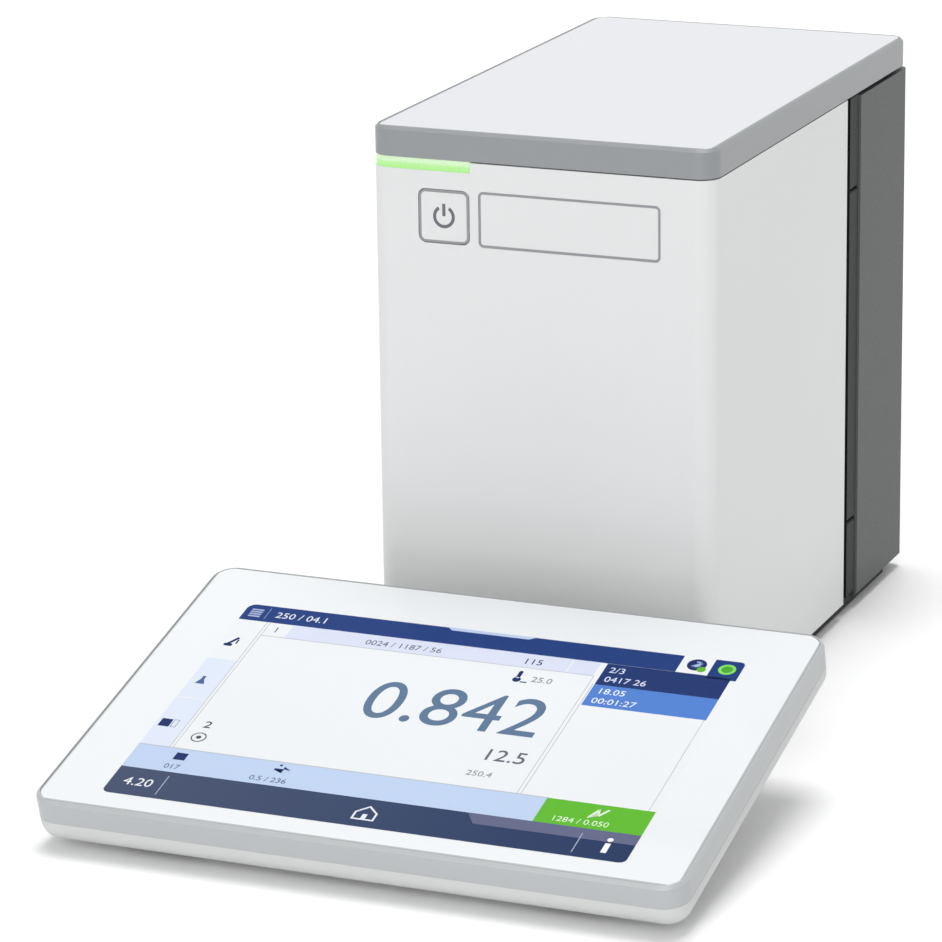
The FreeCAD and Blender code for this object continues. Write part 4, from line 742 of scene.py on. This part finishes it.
def make_contacts():
    """Contacts, keys and insulators inside the sockets of the rear."""
    gold = finish("contact gold", CONTACT_GOLD, 0.25, metal=0.95)
    ivory = finish("insulator", INSULATOR_IVORY, 0.4)
    black = finish("tongue plastic", TONGUE_BLACK, 0.45)
    cond_pins = [circle(0, 0, COND_PIN_R)] + pin_ring(range(30, 390, 60), COND_RING_R, COND_PIN_R)
    cond_key = [rectangle(-0.9, 4.6, 0.9, 5.55)]
    port_pins = pin_ring(PORT_PIN_ANGLES, PORT_RING_R, PORT_PIN_R)
    port_key = [rectangle(-1.1, -0.9, 1.1, 0.6)]
    sleeve = ring(0, 0, 2.9, 2.06)
    host_tongue = [rectangle(-5.6, 0.3, 5.6, 2.2)]
    device_tongue = [rectangle(-2.8, -1.6, 2.8, 1.6)]
    lan_x = [LAN_PITCH * (i - (LAN_WIRES - 1) / 2) for i in range(LAN_WIRES)]
    host_pads = [rectangle(x - 0.5, 0.2, x + 0.5, 0.3) for x in (-3.5, -1.0, 1.0, 3.5)]
    device_pads = [rectangle(x - 0.6, y, x + 0.6, y + 0.1) for x in (-1.25, 1.25) for y in (-1.7, 1.6)]
    lan_wires = [rectangle(x - 0.25, -3.9, x + 0.25, -3.5) for x in lan_x]
    # Each row: piece, socket, outlines, places of its top and foot from the socket's mouth, material, slot
    rows = [
        ("conductivity_contacts", "conductivity_socket", cond_pins, -4.0, -8.9, gold, "black_socket"),
        ("conductivity_key", "conductivity_socket", cond_key, -1.0, -8.9, black, "black_socket"),
    ]
    for port in ROUND_PORTS:
        rows.append((port + "_contacts", port, port_pins, -3.0, -7.9, gold, "black_socket"))
        rows.append((port + "_key", port, port_key, -2.6, -7.9, black, "black_socket"))
    rows += [
        ("ph_insulator", "ph_socket", ring(0, 0, 2.3, 1.15), -3.0, -9.5, ivory, "nickel_socket"),
        ("reference_sleeve", "reference_socket", sleeve, PRINT_T, -PRINT_SINK, gold, "black_socket"),
        ("power_pin", "dc_inlet", [circle(0, 0, 1.0)], -1.4, -8.9, gold, "black_socket"),
        ("host_tongue", "usb_host_socket", host_tongue, -2.6, -10.9, black, "nickel_socket"),
        ("host_contacts", "usb_host_socket", host_pads, -3.2, -10.9, gold, "nickel_socket"),
        ("device_tongue", "usb_device_socket", device_tongue, -2.6, -10.9, black, "nickel_socket"),
        ("device_contacts", "usb_device_socket", device_pads, -3.2, -10.9, gold, "nickel_socket"),
        ("lan_contacts", "lan_socket", lan_wires, -2.0, -10.9, gold, "black_socket"),
    ]
    for name, node, outlines, top, foot, material, slot in rows:
        lay(name, rear_face(node), outlines, top, material, "tower", foot)


# The screen picture, drawn on the glass in millimetres


def screen_finish(name, rgb):
    return finish(name, rgb, SCREEN_ROUGH, **SMOOTH, shine=SCREEN_SHINE)


def panel(glass, name, outlines, rgb, layer=MARK_LAYER):
    """A flat shape of the screen picture."""
    lay(name, glass, outlines, layer, screen_finish(name, rgb), "terminal")


def figures(glass, name, lines, rgb, stretch=1.0):
    """Numbers of the screen picture."""
    write(name, glass, lines, MARK_LAYER, screen_finish(name, rgb), "terminal", stretch)


def screen_grounds(glass):
    """Coloured fields of the picture and the thin lines between them."""
    panel(glass, "screen_base", [rectangle(LEFT, BOTTOM, RIGHT, TOP, 1.8)], SCREEN_WHITE, BASE_LAYER)
    header = rectangle(LEFT, HEADER_Y, 59.4, TOP, 2.6, (0, 0, 0, 1))
    header_end = rectangle(69.0, HEADER_Y - 1.3, RIGHT, TOP, 1.6, (0, 0, 1, 0))
    panel(glass, "screen_header", [header, header_end], HEADER_BLUE, PANEL_LAYER)
    notch = [(-14.2, TOP + 0.1), (-12.4, TOP - 1.3), (11.8, TOP - 1.3), (13.6, TOP + 0.1)]
    panel(glass, "header_tab", [notch], PALE_BLUE)
    row = [rectangle(-60.0, ROW_Y, 28.4, HEADER_Y), rectangle(28.8, ROW_Y, FIELD_RIGHT, HEADER_Y)]
    panel(glass, "name_row", row, ROW_LILAC, PANEL_LAYER)
    tabs = [rectangle(LEFT, 56.8, TAB_X - 0.4, 77.8), rectangle(LEFT, ACTION_TOP, TAB_X - 0.4, 56.4)]
    panel(glass, "side_tabs", tabs, TAB_GREY, PANEL_LAYER)
    lines = (
        stroke(TAB_X - 0.3, ACTION_TOP, TAB_X - 0.3, HEADER_Y, 0.18),
        stroke(FIELD_X, ACTION_TOP, FIELD_X, HEADER_Y, 0.18),
        stroke(FIELD_X, ROW_Y - 0.1, FIELD_RIGHT, ROW_Y - 0.1, 0.2),
        stroke(FIELD_RIGHT + 0.3, ACTION_TOP, FIELD_RIGHT + 0.3, ROW_Y, 0.18),
        stroke(PANEL_X - 0.5, ACTION_TOP, PANEL_X - 0.5, SAMPLE_Y, 0.18),
        stroke(PANEL_RIGHT - 0.5, ACTION_TOP, PANEL_RIGHT - 0.5, 77.3, 0.18),
        stroke(LEFT, ACTION_TOP, GREEN_X, ACTION_TOP, 0.35),
    )
    for i, line in enumerate(lines):
        panel(glass, "screen_line_%d" % i, [line], LINE_GREY)
    sample = rectangle(PANEL_X, SAMPLE_Y, PANEL_RIGHT, HEADER_Y - 0.1)
    panel(glass, "sample_block", [sample], NAVY, PANEL_LAYER)
    panel(glass, "timer_block", [rectangle(PANEL_X, TIMER_Y, PANEL_RIGHT, SAMPLE_Y)], MID_BLUE, PANEL_LAYER)
    action = rectangle(LEFT, ACTION_Y, GREEN_X, ACTION_TOP - 0.15)
    panel(glass, "action_bar", [action], PALE_BLUE, PANEL_LAYER)
    panel(glass, "start_block", [rectangle(GREEN_X, ACTION_Y, RIGHT, ACTION_TOP)], SCREEN_GREEN, PANEL_LAYER)
    stops = ((0.0, BAR_LEFT), (0.55, BAR_MIDDLE), (1.0, BAR_RIGHT))
    shade = graded("bottom bar", "X", LEFT * MM, RIGHT * MM, stops, SCREEN_ROUGH, shine=SCREEN_SHINE)
    bar = rectangle(LEFT, BOTTOM, RIGHT, ACTION_Y, 2.0, (1, 1, 0, 0))
    lay("bottom_bar", glass, [bar], PANEL_LAYER, shade, "terminal")
    tab = [(27.6, ACTION_Y), (30.8, BAR_TAB_Y), (RIGHT, BAR_TAB_Y), (RIGHT, ACTION_Y)]
    panel(glass, "bottom_tab", [tab], BAR_TAB)


def header_marks(glass):
    """Marks in the header and in the row under it."""
    figures(glass, "header_figures", [("250 / 04.1", -67.6, 102.2, 2.9)], HEADER_TEXT)
    bars = [rectangle(-76.0, 101.4 + 1.15 * i, -72.2, 102.1 + 1.15 * i) for i in range(4)]
    panel(glass, "menu_icon", bars, MENU_BLUE)
    panel(glass, "header_line", [stroke(-70.4, 100.8, -70.4, 106.6, 0.18)], HEADER_LINE)
    row = [("1", -65.0, 94.6, 2.6), ("0024 / 1187 / 56", -35.2, 94.2, 2.5)]
    figures(glass, "row_figures", row, TEXT_GREY)
    figures(glass, "row_code", [("115", 14.4, 94.2, 2.7)], DARK_BLUE, 1.05)


def reading_marks(glass):
    """The large reading and the smaller ones round it."""
    figures(glass, "reading", [("0.842", -23.4, 58.6, 18.6)], READING_BLUE, 0.93)
    figures(glass, "second_reading", [("12.5", 20.6, 45.4, 5.4)], TEXT_GREY)
    small = [("250.4", 19.6, 37.4, 2.4), ("25.0", 20.2, 85.6, 2.6)]
    figures(glass, "small_readings", small, FAINT_TEXT)
    stem = rectangle(15.4, 86.6, 16.6, 90.4, 0.6)
    dash = stroke(17.4, 84.9, 19.4, 84.9, 0.5)
    panel(glass, "thermometer_icon", [stem, circle(16.0, 85.9, 1.25), dash], DARK_BLUE)


def panel_marks(glass):
    """Marks of the right-hand panel and the two round ones above it."""
    figures(glass, "sample_figures", [("2/3", 40.6, 94.9, 2.7), ("0417 26", 40.8, 90.1, 2.7)], SAMPLE_TEXT)
    figures(glass, "timer_figures", [("18.05", 41.0, 83.9, 2.7), ("00:01:27", 41.0, 79.0, 2.7)], TIMER_TEXT)
    panel(glass, "status_icon", [circle(64.4, 104.0, 2.9)], DARK_BLUE)
    mark = [arc_band(64.4, 104.0, 1.7, 1.2, -150, 110), stroke(63.4, 103.2, 65.6, 105.1, 0.5)]
    panel(glass, "status_mark", mark, STATUS_BLUE, TOP_LAYER)
    panel(glass, "status_dot", [circle(66.4, 101.9, 1.3)], SCREEN_GREEN, TOP_LAYER)
    panel(glass, "user_icon", ring(73.7, 103.4, 2.6, 1.6), RING_GREEN)
    panel(glass, "user_icon_core", [circle(73.7, 103.4, 1.45)], CORE_GREEN)


def side_marks(glass):
    """Icons in the left-hand tabs, and the small ones beside them."""
    probe = [
        stroke(-75.6, 85.6, -73.2, 89.6, 0.9),
        rectangle(-76.4, 84.9, -73.8, 86.2, 0.4),
        stroke(-72.9, 86.4, -72.9, 88.6, 0.5),
    ]
    panel(glass, "probe_icon", probe, DARK_BLUE)
    beaker = [(-75.9, 64.2), (-74.9, 66.6), (-74.9, 68.2), (-73.9, 68.2), (-73.9, 66.6), (-72.9, 64.2)]
    panel(glass, "beaker_icon", [beaker], BEAKER_BLUE)
    panel(glass, "page_icon", [rectangle(-76.9, 41.4, -73.5, 45.2, 0.3)], DARK_BLUE)
    sheet = [rectangle(-73.1, 41.4, -71.4, 45.2), rectangle(-72.9, 41.6, -71.6, 45.0)]
    panel(glass, "page_icon_sheet", sheet, SHEET_BLUE)
    figures(glass, "mode_figure", [("2", -63.7, 43.2, 3.2)], MODE_TEXT, 1.1)
    panel(glass, "mode_icon", [*ring(-62.4, 38.3, 2.3, 1.95), circle(-62.4, 38.3, 0.75)], MODE_RING)


def action_marks(glass):
    """Marks in the pale bar and in the green block."""
    panel(glass, "stop_icon", [rectangle(-65.0, 26.4, -61.4, 29.8)], DARK_BLUE)
    arrow = [stroke(-34.2, 28.2, -31.4, 28.2, 0.7), [(-31.6, 26.6), (-31.6, 29.8), (-29.2, 28.2)]]
    panel(glass, "skip_icon", [*arrow, circle(-32.9, 30.2, 0.45)], DARK_BLUE)
    lines = [("017", -66.0, 21.9, 2.2), ("0.5 / 236", -39.6, 21.9, 2.2)]
    figures(glass, "action_figures", lines, ACTION_TEXT)
    flag = [
        stroke(60.6, 25.2, 62.6, 29.6, 0.5),
        stroke(62.6, 29.6, 63.2, 26.4, 0.6),
        stroke(63.2, 26.4, 65.4, 29.8, 0.7),
    ]
    panel(glass, "start_icon", flag, START_MARK)
    figures(glass, "start_figures", [("1284 / 0.050", 50.8, 21.9, 2.3)], START_TEXT)


def bar_marks(glass):
    """Marks in the dark bar along the bottom."""
    figures(glass, "bar_figures", [("4.20", -74.0, 12.0, 3.6)], BAR_TEXT)
    lines = [stroke(-62.1, 9.1, -62.1, 18.2, 0.25), stroke(62.0, 9.0, 62.0, 18.0, 0.25)]
    panel(glass, "bar_lines", lines, BAR_LINE, TOP_LAYER)
    outer = [(-3.4, 10.4), (-3.4, 14.0), (0.0, 17.2), (3.4, 14.0), (3.4, 10.4)]
    inner = [(-2.8, 11.0), (-2.8, 13.8), (0.0, 16.4), (2.8, 13.8), (2.8, 11.0)]
    panel(glass, "home_icon", [outer, inner, rectangle(-0.7, 11.0, 0.7, 13.2)], HOME_WHITE)
    info = [circle(70.5, 16.6, 0.85), rectangle(69.7, 10.6, 71.3, 14.9)]
    panel(glass, "info_icon", info, INFO_WHITE, TOP_LAYER)


def make_screen():
    glass = glass_face()
    screen_grounds(glass)
    header_marks(glass)
    reading_marks(glass)
    panel_marks(glass)
    side_marks(glass)
    action_marks(glass)
    bar_marks(glass)


def main():
    make_camera()
    make_world()
    make_sun("top_light", SUN_TOP, SUN_TOP_LEVEL, SUN_TOP_ANGLE)
    make_sun("front_light", SUN_FRONT, SUN_FRONT_LEVEL, SUN_FRONT_ANGLE)
    make_floor()
    dress_tower()
    dress_terminal()
    make_front_prints()
    make_screw_recess_shade()
    make_contacts()
    make_screen()
    bpy.context.scene.view_settings.view_transform = "Standard"


main()
